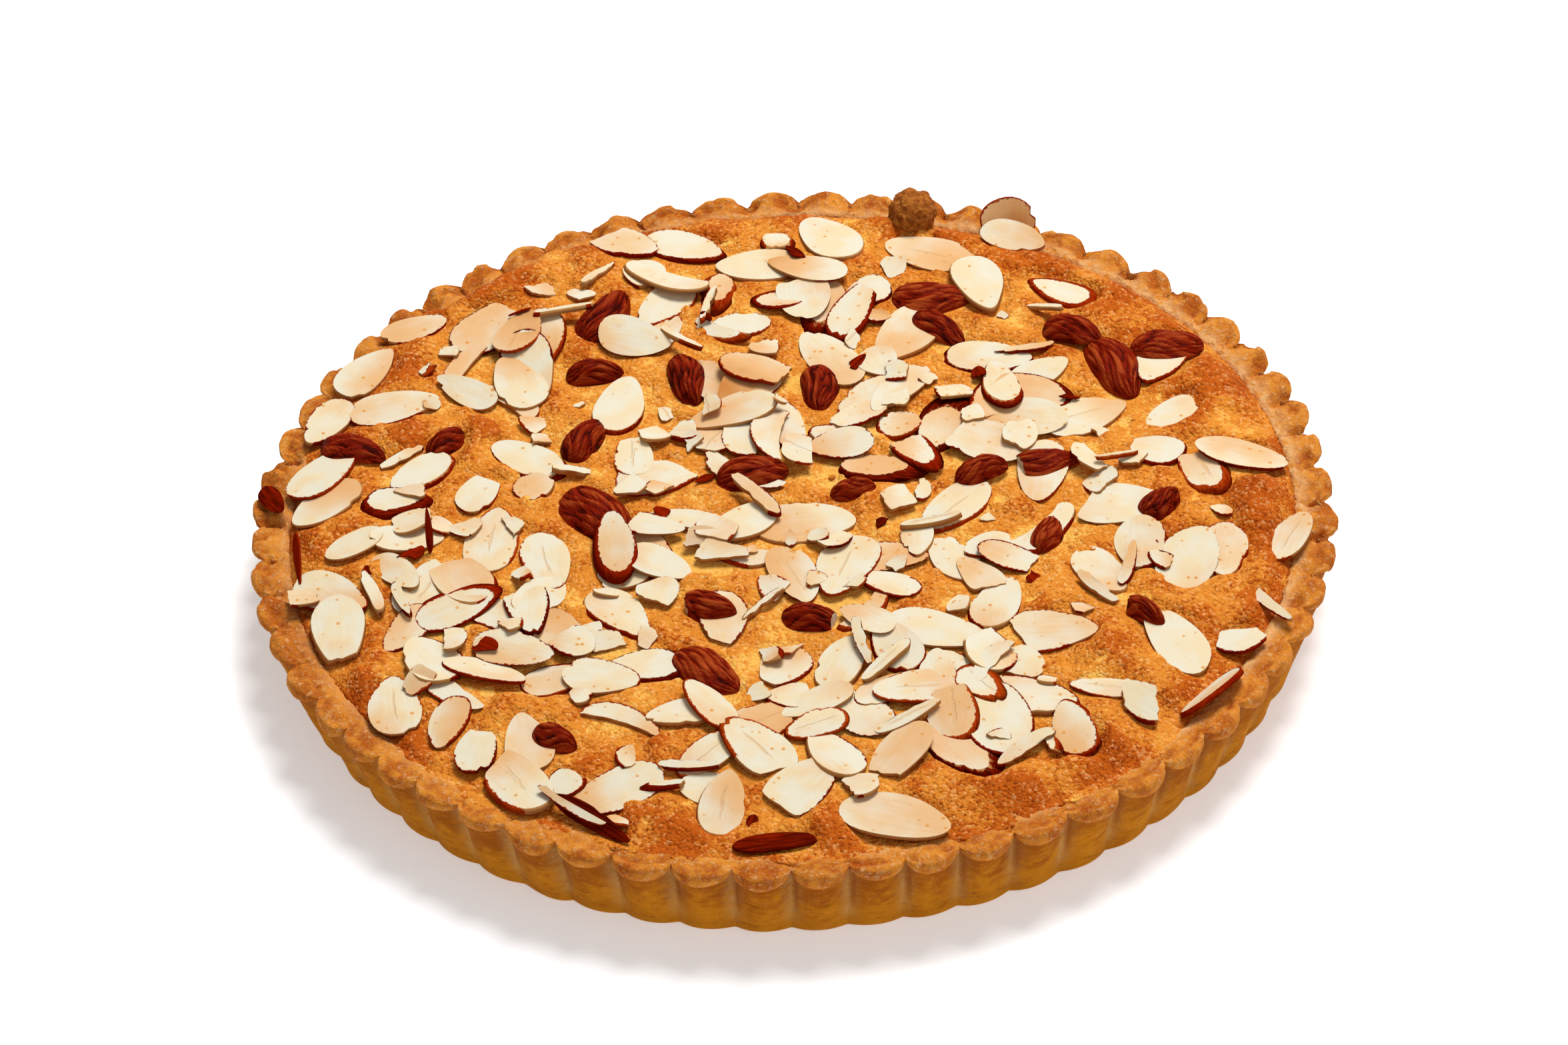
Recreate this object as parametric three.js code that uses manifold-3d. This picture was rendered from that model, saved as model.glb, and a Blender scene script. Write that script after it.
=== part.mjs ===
// Almond tart: a fluted pastry case filled with frangipane, which carries sliced almonds.
// Millimetres, +Z up, origin at the middle of the underside, the front of the tart towards -Y.
import * as THREE from "three";
import { mergeVertices } from "three/addons/utils/BufferGeometryUtils.js";
import Module from "manifold-3d";

// Pastry case
const TART_DIAMETER = 250; // across the flute tips at the rim
const BASE_DIAMETER = 237; // across the flute tips at the underside
const WALL_HEIGHT = 21; // to the flute tips of the rim
const RIM_WIDTH = 9.5; // from a flute tip to the filling
const RIM_CREST = 1.2; // how far the middle of the rim stands over the flute tips
const CREST_WIDTH = 4; // from a flute tip to that middle
const CREASE_RISE = 1; // how far the rim's edge stands higher in a crease than at a tip
const LIP_HEIGHT = 1.6; // the lip that overhangs the wall
const LIP_OVERHANG = 0.5;
const BASE_ROUND = 1.5; // rounded foot of the wall
const FLOOR_THICKNESS = 5;
const FLUTE_COUNT = 60;
const FLUTE_DEPTH = 3; // at the rim
const CREST_FLUTE_DEPTH = 1.4; // along the middle of the rim
const BASE_FLUTE_DEPTH = 1.2;
const FIRST_CREASE = THREE.MathUtils.degToRad(3.8);
const FLUTE_STEPS = 4; // facets across one flute
const GAP = 0.3; // between the case and the filling

// Frangipane
const EDGE_LEVEL = -0.4; // of the filling's edge, over the flute tips
const SHOULDER_WIDTH = 17; // from the filling's edge to its level top
const SHOULDER_RISE = 2.8;
const CENTRE_SAG = 1;
const CENTRE_REACH = 60;
const OVERFLOW_ANGLE = THREE.MathUtils.degToRad(128); // where the filling swelled over the rim
const OVERFLOW_SPREAD = 0.45; // in radians
const OVERFLOW_REACH = 16;
const OVERFLOW_RISE = 2.6;
const MOUND_COUNT = 48;
const MOUND_SPREAD = [7, 14];
const MOUND_RISE = [-1.5, 2.4];
const MOUND_SEED = 17;
const TOP_RINGS = 10;
const TOP_RING_EASE = 1.25; // narrower rings near the edge
const TOP_COLUMNS = 60;

// Sliced almonds: whole slices, broken slices and the domed heels that slicing leaves over
const SLICE_THICKNESS = [1.1, 1.7];
const HEEL_THICKNESS = [3.0, 4.2];
const HEEL_WIDTH_SHARE = [0.5, 0.64]; // of its length
const SLICE_WIDTH_SHARE = [0.5, 0.6];
const BROKEN_WIDTH_SHARE = [0.7, 0.95];
const SLICE_SLANT = [0.84, 0.99]; // size of the upper face over the lower one
const HEEL_DOME = 0.85; // how far up its dome a heel goes before its flat crown
const POINTEDNESS = 0.22; // how much a slice narrows towards its tip
const SLICE_CORNERS = 7;
const BROKEN_CORNERS = 5;
const SCATTER_SEED = 5;
const SCATTER_TRIES = 14;
const THINNING = 0.55; // wider spacing towards the rim
const TOPPING_REACH = 0.93; // share of the filling's radius that the middles of slices reach
const TOPPING_LEAN = 0.05; // more of them to the left, fewer to the right
const HEEL_BERTH = 5; // room that later pieces leave round a heel
const SCATTERED = [
  { kind: "slice", count: 60, length: [19, 24] },
  { kind: "slice", count: 24, length: [14, 19] },
  { kind: "broken", count: 15, length: [10, 15] },
];

// Slices that lie over the rim: degrees round the tart, distance from the middle, heading in degrees, length
const RIM_SLICES = [
  [140, 115, 20, 17], [150, 115, 55, 20], [160, 115, 60, 18], [170, 110, 50, 21], [-160, 110, -85, 24],
  [-145, 110, -85, 20], [-125, 110, -60, 24], [-80, 110, -20, 25], [-10, 115, 60, 17], [110, 110, -35, 19],
  [60, 115, -30, 17], [5, 105, -15, 22],
];

// Dark heels, in the same terms
const HEELS = [
  [120, 85, 60, 20], [180, 45, -60, 23], [80, 45, -90, 16], [30, 90, -70, 22], [30, 105, 10, 18],
  [40, 90, -40, 16], [115, 55, -75, 17], [65, 85, -10, 19], [60, 75, -45, 16], [165, 105, -30, 17],
  [125, 15, 5, 17], [10, 60, 5, 17], [-5, 85, 35, 12], [-85, 40, -25, 15], [-120, 40, -20, 14],
  [-30, 90, -50, 12], [-110, 60, -45, 19], [10, 45, 15, 13], [15, 15, 5, 11], [-15, 60, 70, 12],
  [160, 85, 45, 11], [130, 70, 0, 14], [150, 55, 60, 15], [-125, 95, -30, 11],
];

// A browned crumb that sits at the back edge of the filling
const CRUMB_ANGLE = THREE.MathUtils.degToRad(74);
const CRUMB_RADIUS = 5;
const CRUMB_PLACE = 112; // distance from the middle

// How pieces settle
const BED_CELL = 1.5;
const SINK = 0.8; // how deep a piece presses in where it rests
const LIFT_SHARE = 0.5; // of the highest spot under a piece that it clears
const STEEPEST = 0.6; // slope
const REST_RINGS = [0.35, 0.7, 1];
const REST_SPOKES = 8;

const TURN = 2 * Math.PI;
const RIM_RADIUS = TART_DIAMETER / 2;
const BASE_RADIUS = BASE_DIAMETER / 2;
const RIM_TOP = WALL_HEIGHT + RIM_CREST;
const INNER_RADIUS = RIM_RADIUS - RIM_WIDTH;
const WALL_SLOPE = (RIM_RADIUS - BASE_RADIUS) / WALL_HEIGHT;
const INNER_FLOOR_RADIUS = INNER_RADIUS - WALL_SLOPE * (WALL_HEIGHT - FLOOR_THICKNESS);
const FILL_RADIUS = INNER_RADIUS - GAP;
const FILL_FLOOR_RADIUS = INNER_FLOOR_RADIUS - GAP;
const FLUTE_ANGLE = TURN / FLUTE_COUNT;
const HALF_PITCH = (RIM_RADIUS * FLUTE_ANGLE) / 2;
const FLUTE_ARC_RADIUS = (HALF_PITCH ** 2 + FLUTE_DEPTH ** 2) / (2 * FLUTE_DEPTH);

const wasm = await Module();
wasm.setup();

/** A function that gives the next of a fixed run of numbers from 0 to 1. */
function seededDraws(seed) {
  let state = seed;
  return () => {
    state = (state * 1664525 + 1013904223) % 4294967296;
    return state / 4294967296;
  };
}

function between([low, high], share) {
  return low + (high - low) * share;
}

/** How far a flute bulges at an angle round the tart: 0 in a crease, 1 at a tip. */
function fluteBulge(angle) {
  const turns = (angle - FIRST_CREASE) / FLUTE_ANGLE;
  const across = 2 * (turns - Math.floor(turns)) - 1;
  const arc = Math.sqrt(FLUTE_ARC_RADIUS ** 2 - (HALF_PITCH * across) ** 2);
  return (arc - FLUTE_ARC_RADIUS + FLUTE_DEPTH) / FLUTE_DEPTH;
}

/** Turns a profile of { radius, height } round the Z axis. */
function turned(profile, columns, startAngle) {
  const points = profile.map(({ radius, height }) => new THREE.Vector2(radius, height));
  const geometry = new THREE.LatheGeometry(points, columns, startAngle + Math.PI / 2);
  return geometry.rotateX(Math.PI / 2);
}

/** The pastry case: floor, fluted wall that widens upwards, and a rim with a drooping lip. */
function pastryCase() {
  const underLip = WALL_HEIGHT - LIP_HEIGHT;
  const profile = [
    { radius: 0, height: 0, flute: 0, rise: 0 },
    { radius: BASE_RADIUS - BASE_ROUND, height: 0, flute: BASE_FLUTE_DEPTH, rise: 0 },
    { radius: BASE_RADIUS, height: BASE_ROUND, flute: BASE_FLUTE_DEPTH, rise: 0 },
    {
      radius: BASE_RADIUS + WALL_SLOPE * underLip - LIP_OVERHANG,
      height: underLip,
      flute: FLUTE_DEPTH,
      rise: CREASE_RISE,
    },
    { radius: RIM_RADIUS, height: WALL_HEIGHT, flute: FLUTE_DEPTH, rise: CREASE_RISE },
    { radius: RIM_RADIUS - CREST_WIDTH, height: RIM_TOP, flute: CREST_FLUTE_DEPTH, rise: 0 },
    { radius: INNER_RADIUS, height: WALL_HEIGHT, flute: 0, rise: 0 },
    { radius: INNER_FLOOR_RADIUS, height: FLOOR_THICKNESS, flute: 0, rise: 0 },
    { radius: 0, height: FLOOR_THICKNESS, flute: 0, rise: 0 },
  ];
  const geometry = turned(profile, FLUTE_COUNT * FLUTE_STEPS, FIRST_CREASE);
  const spots = geometry.attributes.position;
  for (let i = 0; i < spots.count; i++) {
    const { radius, height, flute, rise } = profile[i % profile.length];
    const angle = Math.atan2(spots.getY(i), spots.getX(i));
    const hollow = 1 - fluteBulge(angle);
    const reach = radius - flute * hollow;
    spots.setXYZ(i, reach * Math.cos(angle), reach * Math.sin(angle), height + rise * hollow);
  }
  return geometry;
}

/** Soft mounds and hollows of the baked filling, spread evenly over its area. */
function mounds() {
  const draw = seededDraws(MOUND_SEED);
  return Array.from({ length: MOUND_COUNT }, () => {
    const angle = TURN * draw();
    const distance = FILL_RADIUS * Math.sqrt(draw());
    return {
      x: distance * Math.cos(angle),
      y: distance * Math.sin(angle),
      spread: between(MOUND_SPREAD, draw()),
      rise: between(MOUND_RISE, draw()),
    };
  });
}

const MOUNDS = mounds();

/** Height of the bare filling's top. */
function fillingHeight(x, y) {
  const distance = Math.hypot(x, y);
  const fromEdge = Math.max(FILL_RADIUS - distance, 0);
  const shoulder = 1 - (1 - Math.min(fromEdge / SHOULDER_WIDTH, 1)) ** 2;
  const sag = CENTRE_SAG * Math.exp(-((distance / CENTRE_REACH) ** 2));
  const offOverflow = (Math.atan2(y, x) - OVERFLOW_ANGLE) / OVERFLOW_SPREAD;
  const overflow = OVERFLOW_RISE * Math.exp(-(offOverflow ** 2) - (fromEdge / OVERFLOW_REACH) ** 2);
  let relief = 0;
  for (const mound of MOUNDS) {
    const away = ((x - mound.x) ** 2 + (y - mound.y) ** 2) / mound.spread ** 2;
    relief += mound.rise * Math.exp(-away);
  }
  return WALL_HEIGHT + EDGE_LEVEL + (SHOULDER_RISE + relief) * shoulder - sag + overflow;
}

/** The filling without its almonds. */
function bareFilling() {
  const profile = [
    { radius: 0, height: FLOOR_THICKNESS },
    { radius: FILL_FLOOR_RADIUS, height: FLOOR_THICKNESS },
  ];
  for (let ring = 0; ring <= TOP_RINGS; ring++) {
    const radius = FILL_RADIUS * (1 - (ring / TOP_RINGS) ** TOP_RING_EASE);
    profile.push({ radius, height: WALL_HEIGHT });
  }
  const geometry = turned(profile, TOP_COLUMNS, 0);
  const spots = geometry.attributes.position;
  for (let i = 0; i < spots.count; i++) {
    if (spots.getZ(i) > FLOOR_THICKNESS + GAP) {
      spots.setZ(i, fillingHeight(spots.getX(i), spots.getY(i)));
    }
  }
  return geometry;
}

/** A height map of what lies on the tart so far, on which the next piece settles. */
class Bed {
  constructor() {
    this.half = Math.ceil(RIM_RADIUS / BED_CELL);
    this.row = 2 * this.half + 1;
    this.heights = new Float64Array(this.row ** 2);
    for (let j = 0; j < this.row; j++) {
      for (let i = 0; i < this.row; i++) {
        const x = (i - this.half) * BED_CELL;
        const y = (j - this.half) * BED_CELL;
        const onRim = Math.hypot(x, y) > FILL_RADIUS - BED_CELL;
        this.heights[j * this.row + i] = onRim ? RIM_TOP + SINK + GAP : fillingHeight(x, y);
      }
    }
  }

  cell(x, y) {
    const i = Math.min(Math.max(Math.round(x / BED_CELL) + this.half, 0), this.row - 1);
    const j = Math.min(Math.max(Math.round(y / BED_CELL) + this.half, 0), this.row - 1);
    return j * this.row + i;
  }

  /** Lays a piece along the mean slope under it, pressed in a little where it touches. */
  settle(piece) {
    const cos = Math.cos(piece.heading);
    const sin = Math.sin(piece.heading);
    const rests = [];
    for (const ring of REST_RINGS) {
      for (let spoke = 0; spoke < REST_SPOKES; spoke++) {
        const along = piece.halfLength * ring * Math.cos((TURN * spoke) / REST_SPOKES);
        const across = piece.halfWidth * ring * Math.sin((TURN * spoke) / REST_SPOKES);
        const under = this.cell(piece.x + cos * along - sin * across, piece.y + sin * along + cos * across);
        rests.push({ along, across, height: this.heights[under] });
      }
    }
    const total = (value) => rests.reduce((sum, rest) => sum + value(rest), 0);
    const mean = total((rest) => rest.height) / rests.length;
    const pitch = total((rest) => rest.along * rest.height) / total((rest) => rest.along ** 2);
    const roll = total((rest) => rest.across * rest.height) / total((rest) => rest.across ** 2);
    piece.pitch = Math.min(Math.max(pitch, -STEEPEST), STEEPEST);
    piece.roll = Math.min(Math.max(roll, -STEEPEST), STEEPEST);
    const over = (rest) => rest.height - mean - piece.pitch * rest.along - piece.roll * rest.across;
    piece.z = mean + LIFT_SHARE * Math.max(...rests.map(over)) - SINK;
    this.cover(piece, cos, sin);
  }

  /** Raises the map to the top of a piece. */
  cover(piece, cos, sin) {
    const reach = Math.ceil(piece.halfLength / BED_CELL);
    for (let j = -reach; j <= reach; j++) {
      for (let i = -reach; i <= reach; i++) {
        const along = (cos * i + sin * j) * BED_CELL;
        const across = (cos * j - sin * i) * BED_CELL;
        if ((along / piece.halfLength) ** 2 + (across / piece.halfWidth) ** 2 <= 1) {
          const under = this.cell(piece.x + i * BED_CELL, piece.y + j * BED_CELL);
          const top = piece.z + piece.pitch * along + piece.roll * across + piece.thickness;
          this.heights[under] = Math.max(this.heights[under], top);
        }
      }
    }
  }
}

/** The widest of several random spots, by its distance to what lies there already. */
function openSpot(draw, placed) {
  let best = { room: -Infinity };
  for (let i = 0; i < SCATTER_TRIES; i++) {
    const angle = TURN * draw();
    const reach = TOPPING_REACH - TOPPING_LEAN * Math.cos(angle);
    const distance = FILL_RADIUS * reach * Math.sqrt(draw());
    const x = distance * Math.cos(angle);
    const y = distance * Math.sin(angle);
    let room = FILL_RADIUS;
    for (const piece of placed) {
      const berth = piece.kind === "heel" ? HEEL_BERTH : 0;
      room = Math.min(room, Math.hypot(x - piece.x, y - piece.y) - berth);
    }
    room /= 1 + THINNING * (distance / FILL_RADIUS) ** 2;
    if (room > best.room) {
      best = { x, y, room };
    }
  }
  return best;
}

/** A piece of almond at a spot, with its uneven sizes drawn in a fixed order. */
function almondPiece(kind, x, y, heading, length, draw) {
  const widthShare = { slice: SLICE_WIDTH_SHARE, broken: BROKEN_WIDTH_SHARE, heel: HEEL_WIDTH_SHARE }[kind];
  const halfLength = length / 2;
  const halfWidth = halfLength * between(widthShare, draw());
  const thickness = between(kind === "heel" ? HEEL_THICKNESS : SLICE_THICKNESS, draw());
  const slant = between(SLICE_SLANT, draw());
  return { kind, x, y, heading, halfLength, halfWidth, thickness, slant };
}

/** All pieces of almond, in the order in which they fell on the filling. */
function almonds() {
  const draw = seededDraws(SCATTER_SEED);
  const bed = new Bed();
  const placed = [];
  const lay = (piece) => {
    bed.settle(piece);
    placed.push(piece);
  };
  const layListed = (kind, list) => {
    for (const [angle, distance, heading, length] of list) {
      const at = THREE.MathUtils.degToRad(angle);
      const turn = THREE.MathUtils.degToRad(heading);
      lay(almondPiece(kind, distance * Math.cos(at), distance * Math.sin(at), turn, length, draw));
    }
  };
  const layScattered = ({ kind, count, length }) => {
    for (let i = 0; i < count; i++) {
      const spot = openSpot(draw, placed);
      const heading = TURN * draw();
      lay(almondPiece(kind, spot.x, spot.y, heading, between(length, draw()), draw));
    }
  };
  const [largeSlices, ...smallPieces] = SCATTERED;
  layScattered(largeSlices);
  layListed("slice", RIM_SLICES);
  layListed("heel", HEELS);
  smallPieces.forEach(layScattered);
  return placed;
}

/** Outline of a piece from above: a slice with one narrower end, or the half of a broken one. */
function almondOutline(piece) {
  const points = [];
  if (piece.kind === "broken") {
    for (let i = 0; i < BROKEN_CORNERS; i++) {
      const angle = Math.PI * (0.5 + i / (BROKEN_CORNERS - 1));
      const along = 1 + 2 * Math.cos(angle);
      points.push(new THREE.Vector2(piece.halfLength * along, piece.halfWidth * Math.sin(angle)));
    }
  } else {
    for (let i = 0; i < SLICE_CORNERS; i++) {
      const angle = (TURN * i) / SLICE_CORNERS;
      const across = Math.sin(angle) * (1 - POINTEDNESS * Math.cos(angle));
      points.push(new THREE.Vector2(piece.halfLength * Math.cos(angle), piece.halfWidth * across));
    }
  }
  return new THREE.Shape(points);
}

/** A piece of almond as a few-sided solid: a slanted slice, or a domed heel with a flat crown. */
function almondGeometry(piece) {
  const domed = piece.kind === "heel";
  const depth = piece.thickness;
  const geometry = new THREE.ExtrudeGeometry(almondOutline(piece), {
    depth,
    steps: domed ? 2 : 1,
    bevelEnabled: false,
  });
  const spots = geometry.attributes.position;
  for (let i = 0; i < spots.count; i++) {
    const level = spots.getZ(i) / depth;
    const size = domed ? Math.sqrt(1 - (HEEL_DOME * level) ** 2) : 1 + (piece.slant - 1) * level;
    spots.setX(i, spots.getX(i) * size);
    spots.setY(i, spots.getY(i) * size);
  }
  const cos = Math.cos(piece.heading);
  const sin = Math.sin(piece.heading);
  const lengthways = new THREE.Vector3(cos, sin, piece.pitch).normalize();
  const sideways = new THREE.Vector3(-sin, cos, piece.roll);
  const upwards = lengthways.clone().cross(sideways).normalize();
  sideways.crossVectors(upwards, lengthways);
  const frame = new THREE.Matrix4().makeBasis(lengthways, sideways, upwards);
  return geometry.applyMatrix4(frame.setPosition(piece.x, piece.y, piece.z));
}

/** The browned crumb at the back edge. */
function crumbGeometry() {
  const x = CRUMB_PLACE * Math.cos(CRUMB_ANGLE);
  const y = CRUMB_PLACE * Math.sin(CRUMB_ANGLE);
  const geometry = new THREE.IcosahedronGeometry(CRUMB_RADIUS, 1);
  return geometry.translate(x, y, fillingHeight(x, y) + CRUMB_RADIUS / 2);
}

/** The room over the rim that the filling and its almonds leave free. */
function rimClearance() {
  const inner = FILL_RADIUS + GAP / 4;
  const outer = 2 * RIM_RADIUS;
  const top = RIM_TOP + GAP;
  const profile = [
    { radius: inner, height: 0 },
    { radius: outer, height: 0 },
    { radius: outer, height: top },
    { radius: inner, height: top },
    { radius: inner, height: 0 },
  ];
  return turned(profile, TOP_COLUMNS, 0);
}

function solidOf(geometry) {
  const bare = geometry.clone();
  bare.deleteAttribute("normal");
  bare.deleteAttribute("uv");
  const merged = mergeVertices(bare);
  const vertProperties = new Float32Array(merged.attributes.position.array);
  const triVerts = new Uint32Array(merged.index.array);
  return new wasm.Manifold(new wasm.Mesh({ numProp: 3, vertProperties, triVerts }));
}

function geometryOf(solid) {
  const mesh = solid.getMesh();
  const geometry = new THREE.BufferGeometry();
  geometry.setAttribute("position", new THREE.BufferAttribute(mesh.vertProperties, 3));
  geometry.setIndex(new THREE.BufferAttribute(mesh.triVerts, 1));
  geometry.computeVertexNormals();
  return geometry;
}

/** The filling with its almonds and crumb fused on, as one closed body. */
function toppedFilling() {
  let solid = solidOf(bareFilling()).add(solidOf(crumbGeometry()));
  for (const piece of almonds()) {
    solid = solid.add(solidOf(almondGeometry(piece)));
  }
  const bodies = solid.subtract(solidOf(rimClearance())).decompose();
  return geometryOf(bodies.reduce((one, other) => (other.volume() > one.volume() ? other : one)));
}

function named(name, geometry, color, roughness) {
  const material = new THREE.MeshStandardMaterial({ color, roughness, metalness: 0 });
  const mesh = new THREE.Mesh(geometry, material);
  mesh.name = name;
  return mesh;
}

const tart = new THREE.Group();
tart.name = "almond_tart";
tart.add(named("pastry_case", pastryCase(), "#c98a45", 0.75));
tart.add(named("frangipane", toppedFilling(), "#d39a52", 0.8));

export default tart;
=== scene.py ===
"""Looks of an almond tart: a fluted pastry case, baked frangipane and strewn sliced almonds.

Sizes and places are in millimetres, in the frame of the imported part, and become metres in the meshes.
The almonds lie by the same seeded rule as in the part's solids, and smaller pieces follow on top.
"""
import logging
import math
from dataclasses import dataclass, field
from enum import Enum
from typing import Callable, Sequence, Union

import bpy
import numpy as np
from mathutils import Matrix, Vector, noise


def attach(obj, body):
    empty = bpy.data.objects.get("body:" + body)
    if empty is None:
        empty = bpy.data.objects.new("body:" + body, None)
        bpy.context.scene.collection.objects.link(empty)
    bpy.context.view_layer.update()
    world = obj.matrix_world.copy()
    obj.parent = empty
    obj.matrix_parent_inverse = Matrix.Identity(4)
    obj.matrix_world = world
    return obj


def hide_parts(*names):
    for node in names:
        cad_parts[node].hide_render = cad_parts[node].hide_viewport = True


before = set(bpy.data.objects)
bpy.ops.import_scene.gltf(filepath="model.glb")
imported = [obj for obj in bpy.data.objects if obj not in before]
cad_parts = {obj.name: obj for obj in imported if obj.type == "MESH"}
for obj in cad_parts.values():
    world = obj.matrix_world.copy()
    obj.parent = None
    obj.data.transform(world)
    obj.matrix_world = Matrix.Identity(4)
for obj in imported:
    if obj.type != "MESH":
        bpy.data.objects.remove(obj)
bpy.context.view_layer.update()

LOG = logging.getLogger("almond_tart")
MM = 0.001
TURN = 2 * math.pi
WEIGHT_LEVELS = 20
FIRST_CUT_SEED = 61
Span = tuple[float, float]
Triple = tuple[float, float, float]
Colour = tuple[float, float, float, float]
Listed = tuple[float, float, float, float]
Key = Union[str, int]
CoverAt = Callable[[np.ndarray, np.ndarray], np.ndarray]


class NutKind(Enum):
    """Kinds of almond piece that lie on the tart."""

    SLICE = "slice"
    BROKEN = "broken"
    HEEL = "heel"
    SHARD = "shard"
    SLIVER = "sliver"
    FLECK = "fleck"
    HUSK = "husk"


class Draws:
    """A fixed run of numbers from 0 to 1, the same as the part's solids use."""

    multiplier: int = 1664525
    increment: int = 1013904223
    modulus: int = 2**32

    def __init__(self, seed: int) -> None:
        """Start the run at a seed."""
        self.state = seed

    def next(self) -> float:
        """Give the next number from 0 to 1."""
        self.state = (self.state * self.multiplier + self.increment) % self.modulus
        return self.state / self.modulus

    def between(self, span: Span) -> float:
        """Give the next number within a span."""
        return span[0] + (span[1] - span[0]) * self.next()

    def chance(self, share: float) -> bool:
        """Tell whether the next number falls within a share of all numbers."""
        return self.next() < share


def smooth_step(values: np.ndarray, low: float, high: float) -> np.ndarray:
    """Ease from 0 at low to 1 at high.

    Args:
        values: numbers to ease.
        low: where the result is 0.
        high: where the result is 1.

    Returns:
        The eased numbers, from 0 to 1.
    """
    share = np.clip((values - low) / (high - low), 0, 1)
    return share * share * (3 - 2 * share)


def soft_noise(points: np.ndarray, size: float, seed: float) -> np.ndarray:
    """Smooth noise at points.

    Args:
        points: rows of x, y, z in millimetres.
        size: width of one bump in millimetres.
        seed: shift that makes one noise differ from another.

    Returns:
        One number from about -1 to 1 for each point.
    """
    shifted = points / size + seed
    return np.array([noise.noise(Vector(point)) for point in shifted])


def bezier(ends: Sequence[Sequence[float]], steps: int) -> np.ndarray:
    """Points along a cubic Bezier curve, without its first end.

    Args:
        ends: start, two handles and end.
        steps: number of points.

    Returns:
        Rows of points.
    """
    share = (np.arange(steps) + 1)[:, None] / steps
    start, leave, arrive, end = np.array(ends, float)
    inner = 3 * (1 - share) ** 2 * share * leave + 3 * (1 - share) * share**2 * arrive
    return (1 - share) ** 3 * start + inner + share**3 * end


def edit_mesh(piece: bpy.types.Object, select: str = "SELECT") -> None:
    """Enter edit mode on one piece.

    Args:
        piece: the mesh object to edit.
        select: SELECT or DESELECT, for all of its mesh.
    """
    bpy.ops.object.select_all(action="DESELECT")
    bpy.context.view_layer.objects.active = piece
    piece.select_set(True)
    bpy.ops.object.mode_set(mode="EDIT")
    bpy.ops.mesh.select_mode(type="VERT")
    bpy.ops.mesh.select_all(action=select)


def leave_edit() -> None:
    """Return to object mode."""
    bpy.ops.object.mode_set(mode="OBJECT")


def vertex_places(piece: bpy.types.Object) -> np.ndarray:
    """Read a mesh's vertices in millimetres, as rows of x, y, z.

    Args:
        piece: the mesh object.

    Returns:
        The rows.
    """
    places = np.empty(3 * len(piece.data.vertices), np.float32)
    piece.data.vertices.foreach_get("co", places)
    return places.reshape(-1, 3).astype(float) / MM


def set_places(piece: bpy.types.Object, places: np.ndarray) -> None:
    """Write a mesh's vertices from rows of x, y, z in millimetres."""
    piece.data.vertices.foreach_set("co", (places * MM).astype(np.float32).ravel())
    piece.data.update()


def set_attribute(piece: bpy.types.Object, name: str, values: np.ndarray, domain: str = "POINT") -> None:
    """Store numbers or vectors on a mesh for its finish to read.

    Args:
        piece: the mesh object.
        name: the attribute's name.
        values: one number, or one row of three, for each element.
        domain: POINT or FACE.
    """
    vectors = values.ndim == 2
    kind = "FLOAT_VECTOR" if vectors else "FLOAT"
    attribute = piece.data.attributes.new(name, kind, domain)
    attribute.data.foreach_set("vector" if vectors else "value", values.astype(np.float32).ravel())


def roughen(piece: bpy.types.Object, name: str, weights: np.ndarray, size: float, depth: float) -> None:
    """Displace a piece along its normals by cloudy noise, applied to the mesh.

    Args:
        piece: the mesh object.
        name: name for the modifier, its texture and its vertex group.
        weights: share of the depth for each vertex.
        size: width of the noise in millimetres.
        depth: height of the relief in millimetres.
    """
    group = piece.vertex_groups.new(name=name)
    levels = np.round(np.clip(weights, 0, 1) * WEIGHT_LEVELS).astype(int)
    for level in range(1, WEIGHT_LEVELS + 1):
        chosen = np.flatnonzero(levels == level)
        if len(chosen):
            group.add(chosen.tolist(), level / WEIGHT_LEVELS, "REPLACE")
    texture = bpy.data.textures.new(name, type="CLOUDS")
    texture.noise_scale = size * MM
    texture.noise_depth = 2
    modifier = piece.modifiers.new(name, "DISPLACE")
    modifier.texture = texture
    modifier.texture_coords = "LOCAL"
    modifier.vertex_group = name
    modifier.strength = depth * MM
    modifier.mid_level = 0.5
    bpy.context.view_layer.objects.active = piece
    bpy.ops.object.modifier_apply(modifier=name)
    bpy.data.textures.remove(texture)


class Value:
    """A shader socket that takes part in Python arithmetic."""

    def __init__(self, shader: "Shader", socket: bpy.types.NodeSocket) -> None:
        """Wrap an output socket of a shader."""
        self.shader = shader
        self.socket = socket

    def _math(self, operation: str, first: "Link", second: "Link") -> "Value":
        """Add a Math node on two numbers or links."""
        return self.shader.node("ShaderNodeMath", {"operation": operation}, {0: first, 1: second})

    def __add__(self, other: "Link") -> "Value":
        """Add a number or link."""
        return self._math("ADD", self, other)

    def __sub__(self, other: "Link") -> "Value":
        """Take a number or link away."""
        return self._math("SUBTRACT", self, other)

    def __rsub__(self, other: "Link") -> "Value":
        """Be taken away from a number or link."""
        return self._math("SUBTRACT", other, self)

    def __mul__(self, other: "Link") -> "Value":
        """Multiply by a number or link."""
        return self._math("MULTIPLY", self, other)

    def __pow__(self, exponent: float) -> "Value":
        """Raise to a power."""
        return self._math("POWER", self, exponent)


Link = Union[Value, float, Sequence[float]]


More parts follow.
